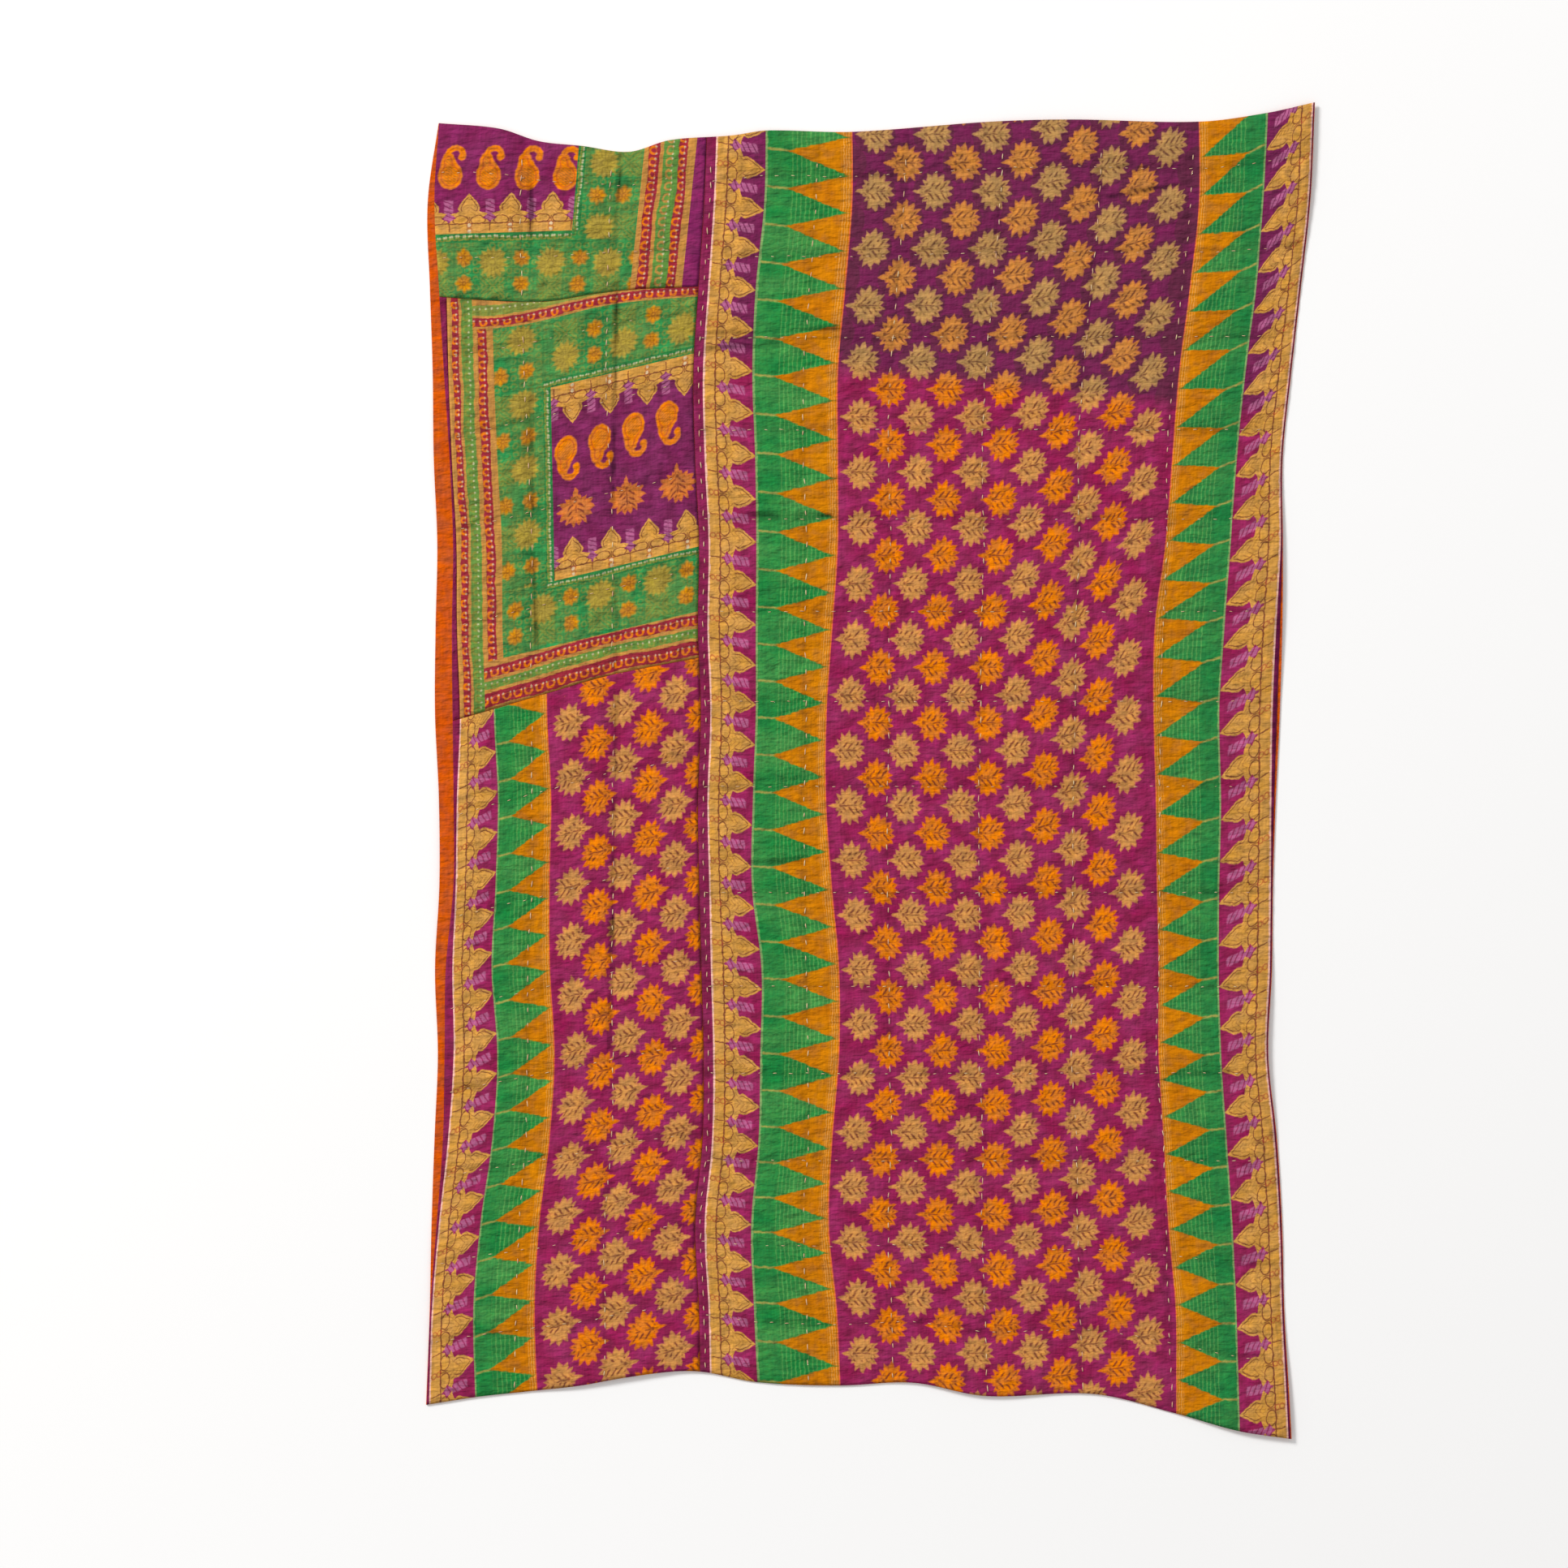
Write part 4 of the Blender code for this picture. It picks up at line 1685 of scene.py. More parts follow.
@dataclass(frozen=True)
class MainSari:
    """The wide sari cloth: selvage, lotus border, temple band, leaves, and both again.

    Each table of marks gives places along the quilt, in mm, and the count of repeats
    there, because the old cloth has stretched unevenly.
    """

    step: float = 5.4
    lotus_marks: Marks = (
        (-1010, -29), (-730, -25), (-386, -20), (-25, -15), (328, -10), (703, -5), (1056, 0),
    )
    temple_marks: Marks = (
        (-1075, -32), (-936, -30), (-626, -25), (-300, -20), (29, -15), (355, -10), (697, -5),
        (1029, 0),
    )
    leaf_marks: Marks = (
        (-977, -21), (-684, -18), (-398, -15), (-110, -12), (182, -9), (477, -6), (769, -3),
        (1070, 0),
    )
    far_temple_marks: Marks = (
        (-1007, -29.5), (-676, -24.5), (-348, -19.5), (-9, -14.5), (335, -9.5), (670, -4.5),
        (1010, 0.5),
    )
    far_lotus_marks: Marks = (
        (-982, -20), (-677, -16), (-381, -12), (-87, -8), (217, -4), (518, 0), (1020, 7),
    )
    # How far the weft has slipped up the quilt where the leaves end, down the quilt
    slip_along: tuple[float, ...] = (-994, -891, -691, -498, -299, -99, 108, 416, 1000)
    slip_rise: tuple[float, ...] = (30, 40, 40, 45, 50, 61, 77, 86, 64)
    slip_start: float = 230
    slip_span: float = 255
    slip_power: float = 1.3
    lotus_repeat: float = 71.3
    temple_repeat: float = 65.8
    leaf_repeat: float = 97.5
    far_temple_repeat: float = 67.3
    far_lotus_repeat: float = 73.5
    # The share of the width where the row of stitches beside the seam runs
    seam_row: float = 0.009

    def leaf_slip(self, across: np.ndarray, along: np.ndarray) -> np.ndarray:
        """How far the leaves' weft has slipped up the quilt, in mm."""
        past = np.maximum((across - self.slip_start) / self.slip_span, 0) ** self.slip_power
        return past * np.interp(along, self.slip_along, self.slip_rise)

    def strips(self) -> list[Strip]:
        """The prints, from the seam to the far edge.

        Returns:
            The strips in order.
        """
        tips, far_tips = side_line("band"), side_line("far_border")
        border, band = "lotus_border_printed_cotton", "temple_band_ikat_cotton"
        leaf_name = "leaf_printed_sari_cotton"
        lotus = LotusBorder(border, self.lotus_repeat, 83.0).make()
        temple = TempleBand(band, self.temple_repeat, 140.0).make()
        leaf = LeafPrint(leaf_name, 99.8, self.leaf_repeat, 88.0, 35.0, -1).make()
        far_temple = TempleBand(band + "_far", self.far_temple_repeat, 115.0, mirrored=True).make()
        far_lotus = LotusBorder(border + "_far", self.far_lotus_repeat, 85.0, mirrored=True).make()
        far_band_leans = (
            (-990, 0.0), (-790, 0.1), (-348, 0.17), (-9, 0.29), (335, 0.32), (1010, 0.5),
        )
        far_lotus_leans = (
            (-982, 0.22), (-700, 0.42), (-400, 0.36), (-277, 0.52), (217, 0.55), (500, 0.63),
            (1000, 0.85),
        )
        lotus_leans, band_leans = ((0, -0.17),), ((0, -0.06), (900, -0.1))
        far_band_slip = leaning(side_line("far_band"), far_band_leans)
        far_lotus_slip = leaning(far_tips, far_lotus_leans)
        return [
            Strip(PlainGround("purple_selvage_cotton", Ink.SELVAGE).make(), -300),
            Strip(lotus, -283, self.lotus_repeat, self.lotus_marks, leaning(tips, lotus_leans)),
            Strip(temple, -200, self.temple_repeat, self.temple_marks, leaning(tips, band_leans)),
            Strip(leaf, -60, self.leaf_repeat, self.leaf_marks, self.leaf_slip),
            Strip(far_temple, 530, self.far_temple_repeat, self.far_temple_marks, far_band_slip),
            Strip(far_lotus, 730, self.far_lotus_repeat, self.far_lotus_marks, far_lotus_slip),
            Strip(PlainGround("purple_selvage_cotton_far", Ink.SELVAGE_FAR).make(), 730),
        ]

    @staticmethod
    def far_edge(along: np.ndarray) -> np.ndarray:
        """The cloth's right edge: a sliver of selvage shows past the border."""
        face, backing = side_line("face")(along), side_line("right")(along)
        return face + (backing - face) * 0.6

    def cloth(self) -> Cloth:
        """The cloth's plan.

        Returns:
            The cloth, not yet built.
        """
        columns = (
            Guide(side_line("seam", SEAM_GAP / 2), -300),
            Guide(side_line("selvage"), -283),
            Guide(side_line("band"), -200),
            Guide(side_line("field"), -60),
            Guide(side_line("far_band"), 530),
            Guide(side_line("far_border"), 645),
            Guide(side_line("face"), 730),
            Guide(self.far_edge, 735),
        )
        strips = {(k, n): strip for k, strip in enumerate(self.strips()) for n in range(3)}
        rows = stitch_rows(BOTTOM_LEVEL, TOP_LEVEL)
        return Cloth(
            name="main_sari_cloth",
            node="main_panel",
            slot="purple_sari",
            flat=(1.03, 2.23),
            bed=Bed(columns, end_rows(), self.step),
            strips=strips,
            quilting=Quilting(side_line("seam"), side_line("face"), MAIN_ROWS, rows),
            stitched=(self.seam_row, *MAIN_ROWS[1:-1]),
        )


@dataclass(frozen=True)
class SideSari:
    """The narrow sari cloth: gold border, temple band and leaves, and its selvage strip."""

    step: float = 5.4
    lotus_marks: Marks = ((-1035, -15), (-820, -12), (-533, -8), (-250, -4), (34, 0))
    temple_marks: Marks = ((-997, -16), (-735, -12), (-476, -8), (-217, -4), (45, 0))
    leaf_marks: Marks = ((-989, -10.5), (-503, -5.5), (-22, -0.5))
    lotus_repeat: float = 71.3
    temple_repeat: float = 65.3
    leaf_repeat: float = 96.7

    def cloths(self) -> list[Cloth]:
        """The cloths' plans.

        Returns:
            The lower cloth and the strip beside the square, not yet built.
        """
        gap = SEAM_GAP / 2
        ends = (
            Guide(end_line(BOTTOM_END), BOTTOM_LEVEL),
            Guide(end_line(SQUARE_BOTTOM, -gap), SQUARE_BOTTOM_LEVEL),
        )
        columns = (
            Guide(side_line("strip"), -752),
            Guide(side_line("border"), -738),
            Guide(side_line("side_band"), -670),
            Guide(side_line("side_field"), -570),
            Guide(side_line("seam", -gap), -301),
        )
        selvage = PlainGround("purple_selvage_cotton_side", Ink.SELVAGE).make()
        lotus = LotusBorder("lotus_border_printed_cotton_side", self.lotus_repeat, 68.0).make()
        temple = TempleBand("temple_band_ikat_cotton_side", self.temple_repeat, 100.0).make()
        leaf_name = "leaf_printed_sari_cotton_side"
        leaf = LeafPrint(leaf_name, 93.3, self.leaf_repeat, 87.6, 35.0, 1).make()
        tips, field = side_line("side_band"), side_line("side_field")
        lotus_leans, band_leans = ((0, 0.45),), ((-900, 0.3), (0, 0.25))
        strips = (
            Strip(selvage, -752),
            Strip(lotus, -738, self.lotus_repeat, self.lotus_marks, leaning(tips, lotus_leans)),
            Strip(temple, -670, self.temple_repeat, self.temple_marks, leaning(tips, band_leans)),
            Strip(leaf, -570, self.leaf_repeat, self.leaf_marks, leaning(field, ((0, 0.27),))),
        )
        lower = Cloth(
            name="side_sari_cloth",
            node="left_panel",
            slot="purple_sari",
            flat=(0.46, 1.27),
            bed=Bed(columns, ends, self.step),
            strips={(k, 0): strip for k, strip in enumerate(strips)},
            quilting=left_quilting(BOTTOM_LEVEL, SQUARE_BOTTOM_LEVEL, seed=2),
            stitched=LEFT_ROWS[1:-1],
        )
        strip_ends = (
            Guide(end_line(SQUARE_BOTTOM, gap), SQUARE_BOTTOM_LEVEL),
            Guide(end_line(SQUARE_TOP, -gap), SQUARE_TOP_LEVEL),
        )
        edge = Guide(side_line("border", -gap), -738)
        beside = Cloth(
            name="selvage_strip_cloth",
            node="selvage_strip",
            slot="purple_sari",
            flat=(0.012, 0.745),
            bed=Bed((columns[0], edge), strip_ends, 3.0),
            strips={(0, 0): strips[0]},
            quilting=Quilting(
                side_line("strip"),
                side_line("border"),
                (0.0, 1.0),
                (SQUARE_BOTTOM_LEVEL, SQUARE_TOP_LEVEL),
                puff=0.8,
            ),
            stitched=(),
        )
        return [lower, beside]


# The green cloths' stripes, each with its start in mm and its colour
SIDE_STRIPES = (
    (0.0, Ink.STRIPE_GOLD), (8.0, Ink.RED), (20.5, Ink.STRIPE_GOLD), (25.0, Ink.STRIPE_GREEN),
    (44.5, Ink.STRIPE_GOLD), (52.5, Ink.RED), (68.5, Ink.STRIPE_GOLD),
)
SIDE_DOTS = (
    DottedStripe(14.2, 6.0, 21.0, Ink.ORANGE),
    DottedStripe(34.8, 8.0, 21.0, Ink.OLIVE_GOLD),
    DottedStripe(60.5, 7.6, 21.0, Ink.ORANGE),
)
FOOT_STRIPES = (
    (0.0, Ink.STRIPE_GOLD), (4.0, Ink.RED), (29.0, Ink.STRIPE_GOLD), (35.0, Ink.STRIPE_GREEN),
    (50.0, Ink.STRIPE_GOLD), (56.0, Ink.RED), (74.5, Ink.STRIPE_GOLD),
)
FOOT_DOTS = (
    DottedStripe(16.5, 9.0, 21.0, Ink.ORANGE),
    DottedStripe(42.5, 6.5, 21.0, Ink.OLIVE_GOLD),
    DottedStripe(65.0, 8.4, 21.0, Ink.ORANGE),
)
HEAD_STRIPES = (
    (0.0, Ink.STRIPE_GOLD), (4.0, Ink.RED), (19.0, Ink.STRIPE_GOLD), (23.0, Ink.STRIPE_GREEN_HEAD),
    (41.0, Ink.STRIPE_GOLD),
)
HEAD_DOTS = (
    DottedStripe(11.5, 7.0, 21.0, Ink.ORANGE),
    DottedStripe(32.0, 7.6, 21.0, Ink.OLIVE_GOLD),
)
END_STRIPES = (
    (0.0, Ink.STRIPE_GOLD), (9.0, Ink.RED), (28.0, Ink.STRIPE_GOLD), (35.0, Ink.STRIPE_GREEN_END),
    (63.0, Ink.RED), (79.0, Ink.STRIPE_GOLD),
)
END_DOTS = (
    DottedStripe(18.5, 8.6, 21.0, Ink.ORANGE),
    DottedStripe(49.0, 9.0, 21.0, Ink.STRIPE_GOLD),
    DottedStripe(71.0, 7.8, 21.0, Ink.ORANGE),
)


@dataclass(frozen=True)
class SquarePatch:
    """The green square: dotted borders, a purple panel of paisleys, and flowers."""

    step: float = 4.6
    slope: float = 0.24
    left: float = -743
    # Where the square's lines cross its left edge, in mm along the quilt
    foot: float = 92
    border_top: float = 175
    panel_low: float = 289
    panel_high: float = 631
    # Where the panel's left edge stands near its top
    panel_left: float = -563
    panel_lean: float = -0.02
    panel_lean_from: float = 671
    bead_width: float = 14
    # The lower edge of the stripes at the square's head
    head: tuple[EdgePoint, ...] = (
        EdgePoint(-743, 774),
        EdgePoint(-658, 779),
        EdgePoint(-607, 786),
        EdgePoint(-540, 801),
        EdgePoint(-489, 814),
        EdgePoint(-438, 823),
        EdgePoint(-344, 832),
        EdgePoint(-301, 835),
    )

    def panel_edge(self, move: float = 0.0) -> Line:
        """The purple panel's left edge, moved by some mm across."""
        top, lean, start = self.panel_left + move, self.panel_lean, self.panel_lean_from
        return lambda along: top + lean * (np.asarray(along, float) - start)

    def weft(self, place: float) -> Line:
        """A line along the square's weft that crosses its left edge at place."""
        return level_line(place, self.slope, self.left)

    def cloth(self) -> Cloth:
        """The cloth's plan.

        Returns:
            The cloth, not yet built.
        """
        gap = SEAM_GAP / 2
        low_beads = self.weft(self.panel_low - self.bead_width)
        columns = (
            Guide(side_line("border"), 0.0),
            Guide(side_line("border", 44.5), 44.5),
            Guide(side_line("border", 80.0), 80.0),
            Guide(self.panel_edge(-self.bead_width), 165.0),
            Guide(self.panel_edge(), 179.0),
            Guide(side_line("seam", -gap), 443.0),
        )
        rows = (
            Guide(end_line(SQUARE_BOTTOM, gap), 0.0, SQUARE_BOTTOM_LEVEL),
            Guide(self.weft(self.border_top), 83.0, 205.0),
            Guide(low_beads, 183.0, 303.0),
            Guide(self.weft(self.panel_low), 197.0, 317.0),
            Guide(self.weft(self.panel_high), 539.0, 645.0),
            Guide(self.weft(self.panel_high + self.bead_width), 553.0, 660.0),
            Guide(end_line(self.head), 700.0, 812.0),
            Guide(end_line(SQUARE_TOP, -gap), 734.0, SQUARE_TOP_LEVEL),
        )
        border = "dotted_border_printed_cotton"
        down = StripedBorder(border + "_down", Run.DOWN, 80.0, SIDE_STRIPES, SIDE_DOTS)
        low = StripedBorder(border + "_foot", Run.ACROSS, 83.0, FOOT_STRIPES, FOOT_DOTS)
        head = StripedBorder(border + "_head", Run.ACROSS, 45.0, HEAD_STRIPES, HEAD_DOTS)
        flowers = "flower_printed_cotton"
        below_panel = FlowerField(flowers + "_foot", 106.0, 117.0, (262.0, 154.0))
        above_panel = FlowerField(flowers + "_head", 105.0, 117.0, (313.0, 2.0), Facing.UP)
        beside_panel = FlowerField(flowers + "_side", 115.0, 200.0, (129.0, 61.0), Facing.LEFT)
        panel = PaisleyPanel(
            name="paisley_printed_cotton",
            ground=Ink.PANEL,
            height=self.panel_high - self.panel_low,
            paisley=(63.0, 26.0, 208.0, 45.0),
            leaves=(94.0, 42.0, 120.0, 36.0),
            lotus=(69.5, 35.0, 71.0),
            top_lotus=40.0,
            upright=-1,
            lean=0.1,
        )
        beads = beaded_line("beaded_line_printed_cotton", Run.ACROSS, self.bead_width)
        beads_down = beaded_line("beaded_line_printed_cotton_side", Run.DOWN, self.bead_width)
        foot = self.weft(self.foot)
        side_field = Strip(beside_panel.make(), foot=foot)
        foot_field = Strip(below_panel.make(), foot=foot)
        head_field = Strip(above_panel.make(), foot=foot)
        strips = {(k, n): side_field for n in range(7) for k in (2, 3)}
        strips |= {(k, n): foot_field for n in (1, 2) for k in range(2, 5)}
        strips |= {(4, n): head_field for n in (4, 5)}
        beside = Strip(down.make())
        below = Strip(low.make(), foot=end_line(SQUARE_BOTTOM, gap))
        above = Strip(head.make(), foot=end_line(self.head))
        strips |= {(k, n): beside for n in range(7) for k in range(2)}
        strips |= {(k, 0): below for k in range(1, 5)}
        strips |= {(k, 6): above for k in range(1, 5)}
        strips[4, 2] = strips[3, 2] = Strip(beads, foot=low_beads)
        strips[3, 3] = Strip(beads_down, 165.0)
        strips[4, 3] = Strip(panel.make(), 179.0, foot=self.weft(self.panel_low))
        strips[4, 4] = strips[3, 4] = Strip(beads, foot=self.weft(self.panel_high))
        return Cloth(
            name="square_patch_cloth",
            node="square_patch",
            slot="green_sari",
            flat=(0.45, 0.74),
            bed=Bed(columns, rows, self.step),
            strips=strips,
            quilting=left_quilting(SQUARE_BOTTOM_LEVEL, SQUARE_TOP_LEVEL, seed=3),
            stitched=LEFT_ROWS[1:-1],
        )


@dataclass(frozen=True)
class CornerPatch:
    """The corner cut from a sari's end: a purple block, flowers, and striped edges."""

    step: float = 4.6
    slope: float = 0.03
    left: float = -757
    block_low: float = 944
    beads_low: float = 928
    # Where each line down the patch stands at the place stripe_top, and how far it leans
    stripe_top: float = 1092
    stripe_lean: float = 0.105
    block_lean: float = 0.08
    # Where the flowers' own measure starts
    foot: float = 835

    def down(self, across: float, lean: float) -> Line:
        """A line down the patch, at across where it passes stripe_top, that leans."""
        return lambda along: across + lean * (np.asarray(along, float) - self.stripe_top)

    def cloth(self) -> Cloth:
        """The cloth's plan.

        Returns:
            The cloth, not yet built.
        """
        gap = SEAM_GAP / 2
        columns = (
            Guide(side_line("strip"), 0.0),
            Guide(self.down(-514, self.block_lean), 235.0),
            Guide(self.down(-500, self.block_lean), 249.3),
            Guide(self.down(-398, self.stripe_lean), 348.0),
            Guide(self.down(-307, self.stripe_lean), 440.0),
            Guide(side_line("seam", -gap), 462.0),
        )
        beads_line = level_line(self.beads_low, self.slope, self.left)
        block_line = level_line(self.block_low, self.slope, self.left)
        rows = (
            Guide(end_line(SQUARE_TOP, gap), 0.0, SQUARE_TOP_LEVEL),
            Guide(beads_line, 93.0, 931.0),
            Guide(block_line, 109.0, 947.0),
            Guide(end_line(TOP_END), 295.0, TOP_LEVEL),
        )
        foot = level_line(self.foot)
        border = "dotted_border_printed_cotton_end"
        edge = Strip(StripedBorder(border, Run.DOWN, 92.0, END_STRIPES, END_DOTS).make(), 348.0)
        printed = "flower_printed_cotton_end"
        flowers = FlowerField(printed, 103.0, 117.0, (98.0, 60.0)).make()
        beside_block = FlowerField(printed + "_side", 114.5, 200.0, (282.0, 6.5), Facing.RIGHT)
        block = PaisleyPanel(
            name="paisley_printed_cotton_end",
            ground=Ink.PANEL_END,
            height=200.0,
            paisley=(64.0, 25.0, 118.0, 44.0),
            leaves=None,
            lotus=(69.5, 59.0, 70.0),
            top_lotus=None,
            upright=1,
            lean=-0.04,
        )
        beads = beaded_line("beaded_line_printed_cotton_end", Run.ACROSS, 15.7)
        beads_down = beaded_line("beaded_line_printed_cotton_down", Run.DOWN, 14.3)
        plain = PlainGround("purple_end_cotton", Ink.END_PURPLE).make()
        strips = {(k, 0): Strip(flowers, foot=foot) for k in range(3)}
        side_field = Strip(beside_block.make(), foot=foot)
        strips |= {(k, n): side_field for n in (1, 2) for k in (1, 2)}
        for n in range(3):
            strips[3, n] = edge
            strips[4, n] = Strip(plain)
        strips[0, 1] = Strip(beads, foot=beads_line)
        strips[0, 2] = Strip(block.make(), foot=block_line)
        strips[1, 2] = Strip(beads_down, 235.0)
        return Cloth(
            name="corner_patch_cloth",
            node="corner_patch",
            slot="green_sari",
            flat=(0.48, 0.31),
            bed=Bed(columns, rows, self.step),
            strips=strips,
            quilting=left_quilting(SQUARE_TOP_LEVEL, TOP_LEVEL, seed=4),
            stitched=LEFT_ROWS[1:-1],
        )


@dataclass(frozen=True)
class Stitching:
    """The running stitches, small ovals of thread on the face, and between them on the back."""

    pitch: float = 28.0
    margin: float = 14.0
    length: float = 12.5
    width: float = 2.1
    height: float = 1.3
    wander: float = 2.2
    # The share of its wandering that a stitch keeps, and its most turn, in radians
    kept: float = 0.4
    turn: float = 0.16
    # The shares of the length that stitches vary between
    shortest: float = 0.72
    longest: float = 1.15
    rise: float = 0.9
    # Stitches that run across the cloth are shorter and finer than those down it
    across_share: float = 0.66
    # How high a stitch on the back lies, and its thickness as a share of that
    back_height: float = 0.34
    back_share: float = 1.6

    def build(
        self, name: str, cloths: Sequence[Cloth], thread: bpy.types.Material, seed: int
    ) -> bpy.types.Object:
        """Makes the stitches of some cloths as one mesh.

        Args:
            name: the piece's name.
            cloths: the cloths that they hold.
            thread: the thread's material.
            seed: picks the unevenness.

        Returns:
            The stitches.
        """
        uneven = np.random.default_rng(seed)
        mesh = bmesh.new()
        for cloth in cloths:
            for line in cloth.stitch_lines(self.pitch, self.margin):
                raised = line + np.array([0.0, 0.0, self.rise])
                for here, ahead in zip(raised[:-1], raised[1:]):
                    self.add_stitch(mesh, here, ahead, uneven)
                    low = (here + ahead) / 2
                    under = float(lift(low[0], low[1])) + self.back_height
                    low = np.array([low[0], low[1], under])
                    far = np.array([ahead[0], ahead[1], under])
                    self.add_stitch(mesh, low, far, uneven, self.back_height * self.back_share)
        data = finished(name, mesh)
        data.shade_smooth()
        data.materials.append(thread)
        stitches = in_scene(name, data)
        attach(stitches, ROOT)
        LOG.info("%s: %d faces", name, len(data.polygons))
        return stitches

    def add_stitch(
        self,
        mesh: bmesh.types.BMesh,
        here: np.ndarray,
        ahead: np.ndarray,
        uneven: np.random.Generator,
        height: float | None = None,
    ) -> None:
        """Adds one stitch.

        Args:
            mesh: the mesh that takes it.
            here: its middle, in mm.
            ahead: a point farther along its row.
            uneven: the source of its unevenness.
            height: its thickness, or none for the face's.
        """
        shift = uneven.uniform(-self.wander, self.wander, 2)
        along = Vector(ahead - here).normalized()
        turned = Matrix.Rotation(uneven.uniform(-self.turn, self.turn), 4, "Z")
        facing = turned @ along.to_track_quat("X", "Z").to_matrix().to_4x4()
        x, y = here[0] + shift[0] * self.kept, here[1] + shift[1] * self.kept
        middle = Matrix.Translation((x, y, here[2]))
        share = self.across_share if abs(along.x) > abs(along.y) else 1.0
        length = self.length * share * uneven.uniform(self.shortest, self.longest)
        width = self.width * share
        size = Matrix.Diagonal((length / 2, width / 2, (height or self.height) / 2, 1))
        small = Matrix.Scale(MM, 4)
        bmesh.ops.create_icosphere(
            mesh, subdivisions=1, radius=1.0, matrix=small @ middle @ facing @ size
        )


def line_distance(
    lines: Sequence[np.ndarray], across: np.ndarray, along: np.ndarray
) -> np.ndarray:
    """How far each place is from the nearest point of some lines.

    Args:
        lines: the lines, as close points of (across, along, up) in mm.
        across: places across, in mm.
        along: places along.

    Returns:
        Distances in mm.
    """
    points = np.concatenate(lines)
    tree = kdtree.KDTree(len(points))
    for k, (x, y, _) in enumerate(points):
        tree.insert((x, y, 0.0), k)
    tree.balance()
    places = zip(across.ravel(), along.ravel())
    return np.array([tree.find((x, y, 0.0))[2] for x, y in places]).reshape(across.shape)


@dataclass(frozen=True)
class Backing:
    """The plain orange backing, whose edge shows beside the face, and whose back is seen.

    Its underside is drawn up a little along the rows of stitches, which lie in those lines.
    """

    step: float = 10.0
    drawn_up: float = 0.6
    line_half: float = 10.0
    line_fade: float = 3.0
    # Edges sharper than this, in degrees, are shaded as corners
    sharp: float = 50

    def build(self, lines: Sequence[np.ndarray]) -> bpy.types.Object:
        """Makes the cloth.

        Args:
            lines: the rows of stitches, as close points.

        Returns:
            The cloth.
        """
        columns = (Guide(side_line("left"), -765), Guide(side_line("right"), 730))
        bed = Bed(columns, end_rows(), self.step)
        p, q = bed.stops(bed.columns), bed.stops(bed.rows)
        across, along = bed.lay(p, q)
        mesh = bmesh.new()
        bmesh.ops.create_grid(mesh, x_segments=len(p) - 1, y_segments=len(q) - 1, size=0.5)
        grown = bmesh.ops.extrude_face_region(mesh, geom=list(mesh.faces))
        upper = {item for item in grown["geom"] if isinstance(item, bmesh.types.BMVert)}
        raised = lift(across, along)
        near = line_distance(lines, across, along)
        inside = (self.line_half + self.line_fade - near) / self.line_fade
        groove = self.drawn_up * np.clip(inside, 0, 1)
        for vert in mesh.verts:
            column = round((vert.co.x + 0.5) * (len(p) - 1))
            row = round((vert.co.y + 0.5) * (len(q) - 1))
            height = BACKING_THICK if vert in upper else groove[row, column]
            height += raised[row, column]
            vert.co = (across[row, column] * MM, along[row, column] * MM, height * MM)
        for name in ("cloth", "print"):
            layer = mesh.loops.layers.uv.new(name)
            for face in mesh.faces:
                for loop in face.loops:
                    loop[layer].uv = loop.vert.co.xy
        bmesh.ops.recalc_face_normals(mesh, faces=mesh.faces)
        data = finished(BACKING_NAME, mesh)
        data.shade_smooth()
        data.set_sharp_from_angle(angle=math.radians(self.sharp))
        data.materials.append(BackingCotton().make())
        cloth = in_scene(BACKING_NAME, data)
        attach(cloth, ROOT)
        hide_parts("backing")
        LOG.info("%s: %d faces", BACKING_NAME, len(data.polygons))
        return cloth


def pixel_along(py: float) -> float:
    """The place along the quilt of a row of the photograph, in mm."""
    return (ORIGIN_PIXEL[1] - py) * PIXEL_MM


def pixel_across(px: float) -> float:
    """The place across the quilt of a column of the photograph, in mm."""
    return (px - ORIGIN_PIXEL[0]) * PIXEL_MM


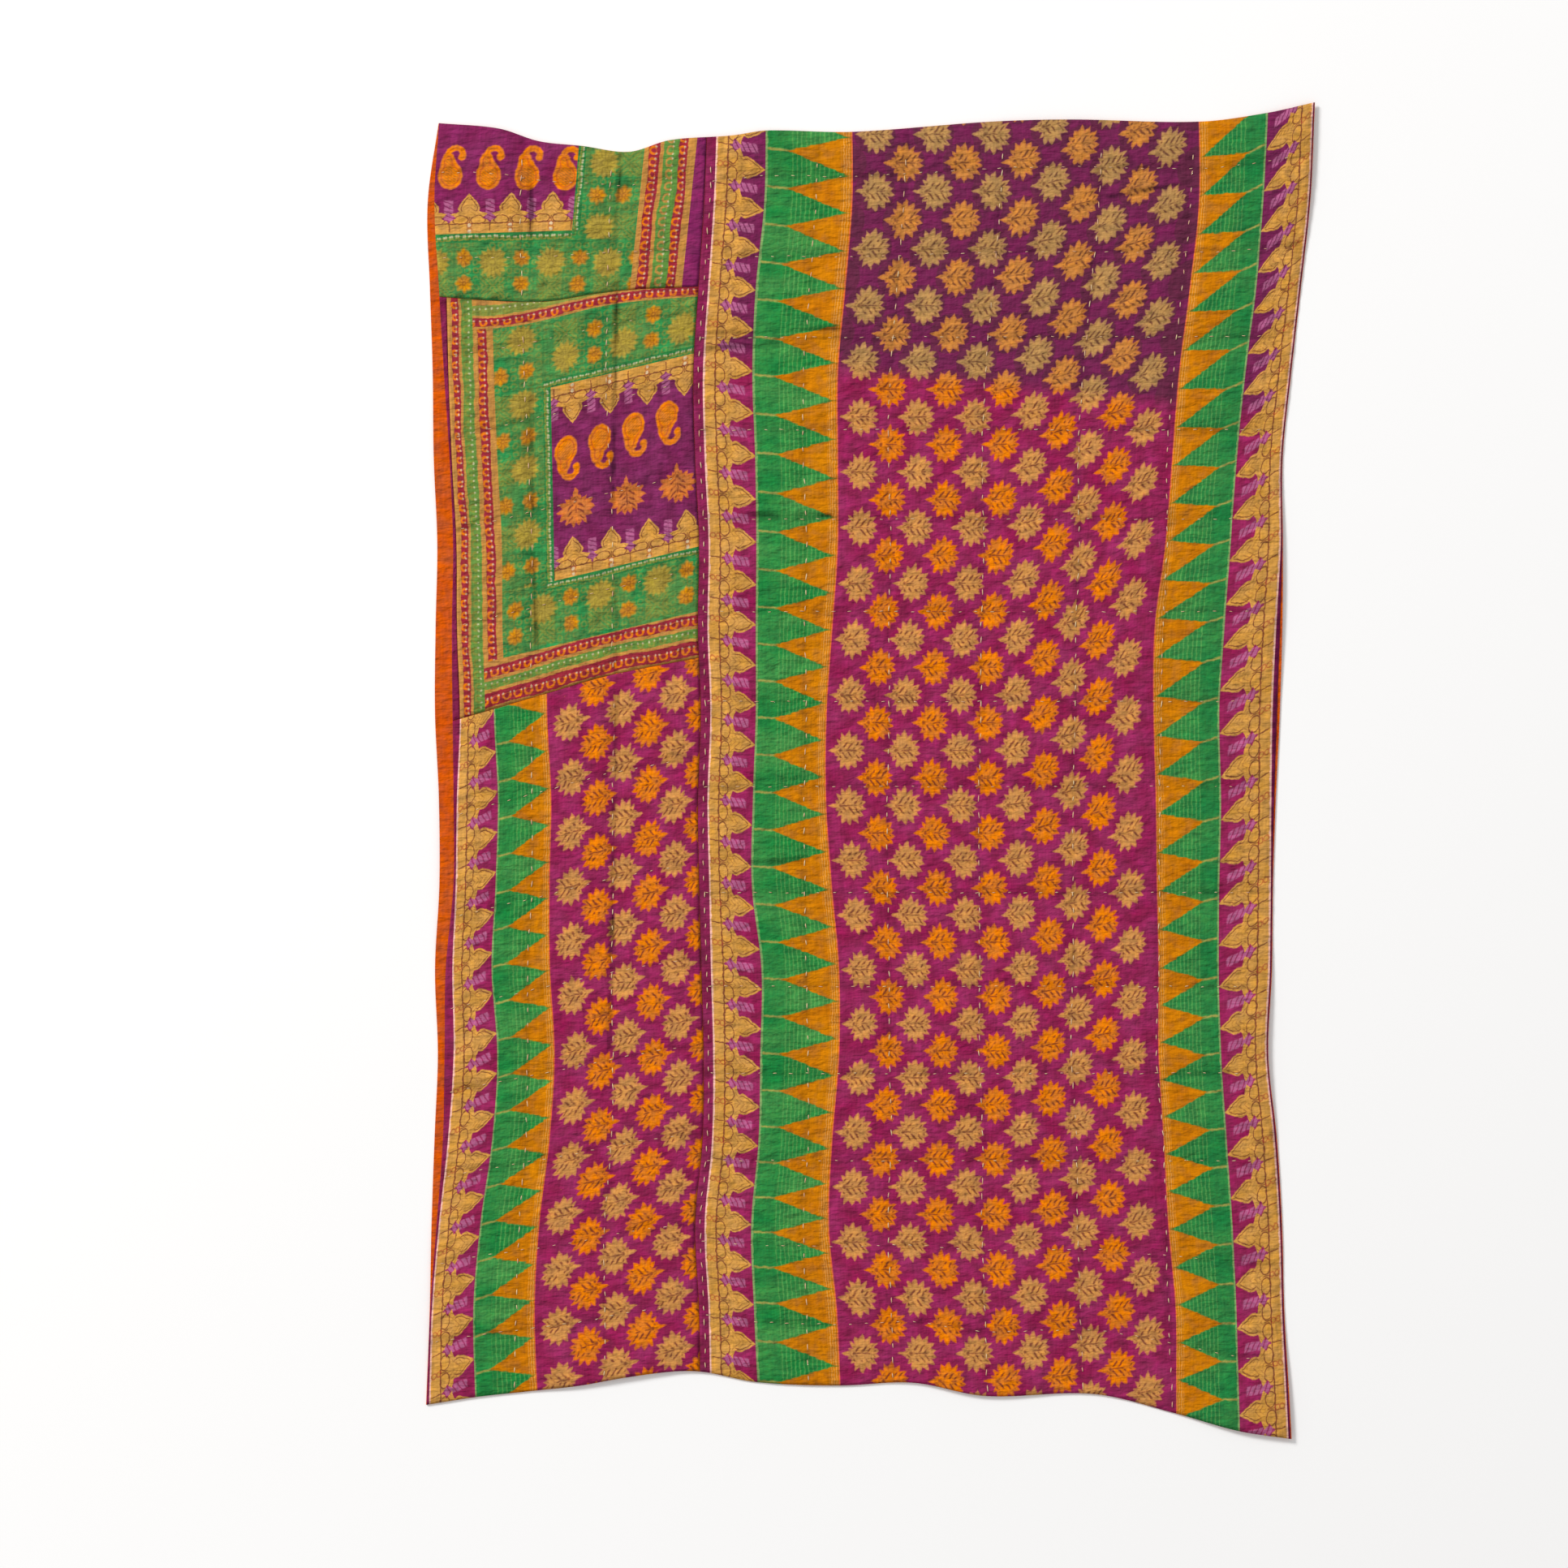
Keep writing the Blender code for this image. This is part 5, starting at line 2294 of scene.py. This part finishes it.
@dataclass(frozen=True)
class Studio:
    """A pale floor, even light from all round, one large lamp, and the camera above."""

    floor_half: float = 9.0
    floor_colour: str = "#FDFCFB"
    floor_roughness: float = 0.9
    floor_shine: float = 0.1
    sky_colour: str = "#FFFFFF"
    sky_strength: float = 0.56
    lamp_place: tuple[float, float, float] = (-13.5, 12.3, 9.6)
    lamp_side: float = 5.0
    lamp_power: float = 4100.0

    def build(self) -> None:
        """Makes the floor, the lights and the camera."""
        mesh = bmesh.new()
        bmesh.ops.create_grid(mesh, x_segments=1, y_segments=1, size=self.floor_half)
        data = finished("floor", mesh)
        material = bpy.data.materials.new("matt_pale_studio_floor")
        material.use_nodes = True
        shader = material.node_tree.nodes["Principled BSDF"]
        shader.inputs["Base Color"].default_value = linear(self.floor_colour)
        shader.inputs["Roughness"].default_value = self.floor_roughness
        shader.inputs["Specular IOR Level"].default_value = self.floor_shine
        data.materials.append(material)
        floor = in_scene("floor", data)
        floor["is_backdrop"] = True
        world = bpy.data.worlds.new("studio")
        world.use_nodes = True
        sky = world.node_tree.nodes["Background"]
        sky.inputs[0].default_value = linear(self.sky_colour)
        sky.inputs[1].default_value = self.sky_strength
        bpy.context.scene.world = world
        light = bpy.data.lights.new("key", "AREA")
        light.size = self.lamp_side
        light.energy = self.lamp_power
        lamp = in_scene("key", light)
        lamp.location = self.lamp_place
        # The lamp points at the quilt's middle
        lamp.rotation_euler = (-Vector(self.lamp_place)).to_track_quat("-Z", "Y").to_euler()
        bpy.context.scene.view_settings.view_transform = "Standard"
        middle = PHOTO_SIDE / 2
        data = bpy.data.cameras.new("camera")
        data.sensor_width = SENSOR_WIDTH
        data.lens = SENSOR_WIDTH * CAMERA_HEIGHT / (PHOTO_SIDE * PIXEL_MM * MM)
        camera = in_scene("camera", data)
        camera.location = (pixel_across(middle) * MM, pixel_along(middle) * MM, CAMERA_HEIGHT)
        bpy.context.scene.camera = camera


def corners_of(box: tuple[Vector, Vector]) -> list[list[float]]:
    """A box's two corners as plain lists of numbers."""
    return [[float(value) for value in corner] for corner in box]


def main(cad_box: list[list[float]]) -> None:
    """Builds the quilt's looks.

    Args:
        cad_box: the CAD model's corners, which are not used.
    """
    Studio().build()
    main_cloth = MainSari().cloth()
    left_cloths = [*SideSari().cloths(), SquarePatch().cloth(), CornerPatch().cloth()]
    cloths = [main_cloth, *left_cloths]
    stitching = Stitching()
    margin = stitching.margin
    Backing().build([line for cloth in cloths for line in cloth.stitch_lines(ROW_STEP, margin)])
    for cloth in cloths:
        cloth.build()
    thread = Thread("cream_cotton_quilting_thread", Ink.THREAD, Ink.THREAD_DARK).make()
    stitching.build("main_stitches", [main_cloth], thread, seed=7)
    stitching.build("left_stitches", left_cloths, thread, seed=8)


if __name__ == "__main__":
    logging.basicConfig(level=logging.INFO, format="%(message)s")
    main(corners_of(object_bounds()))
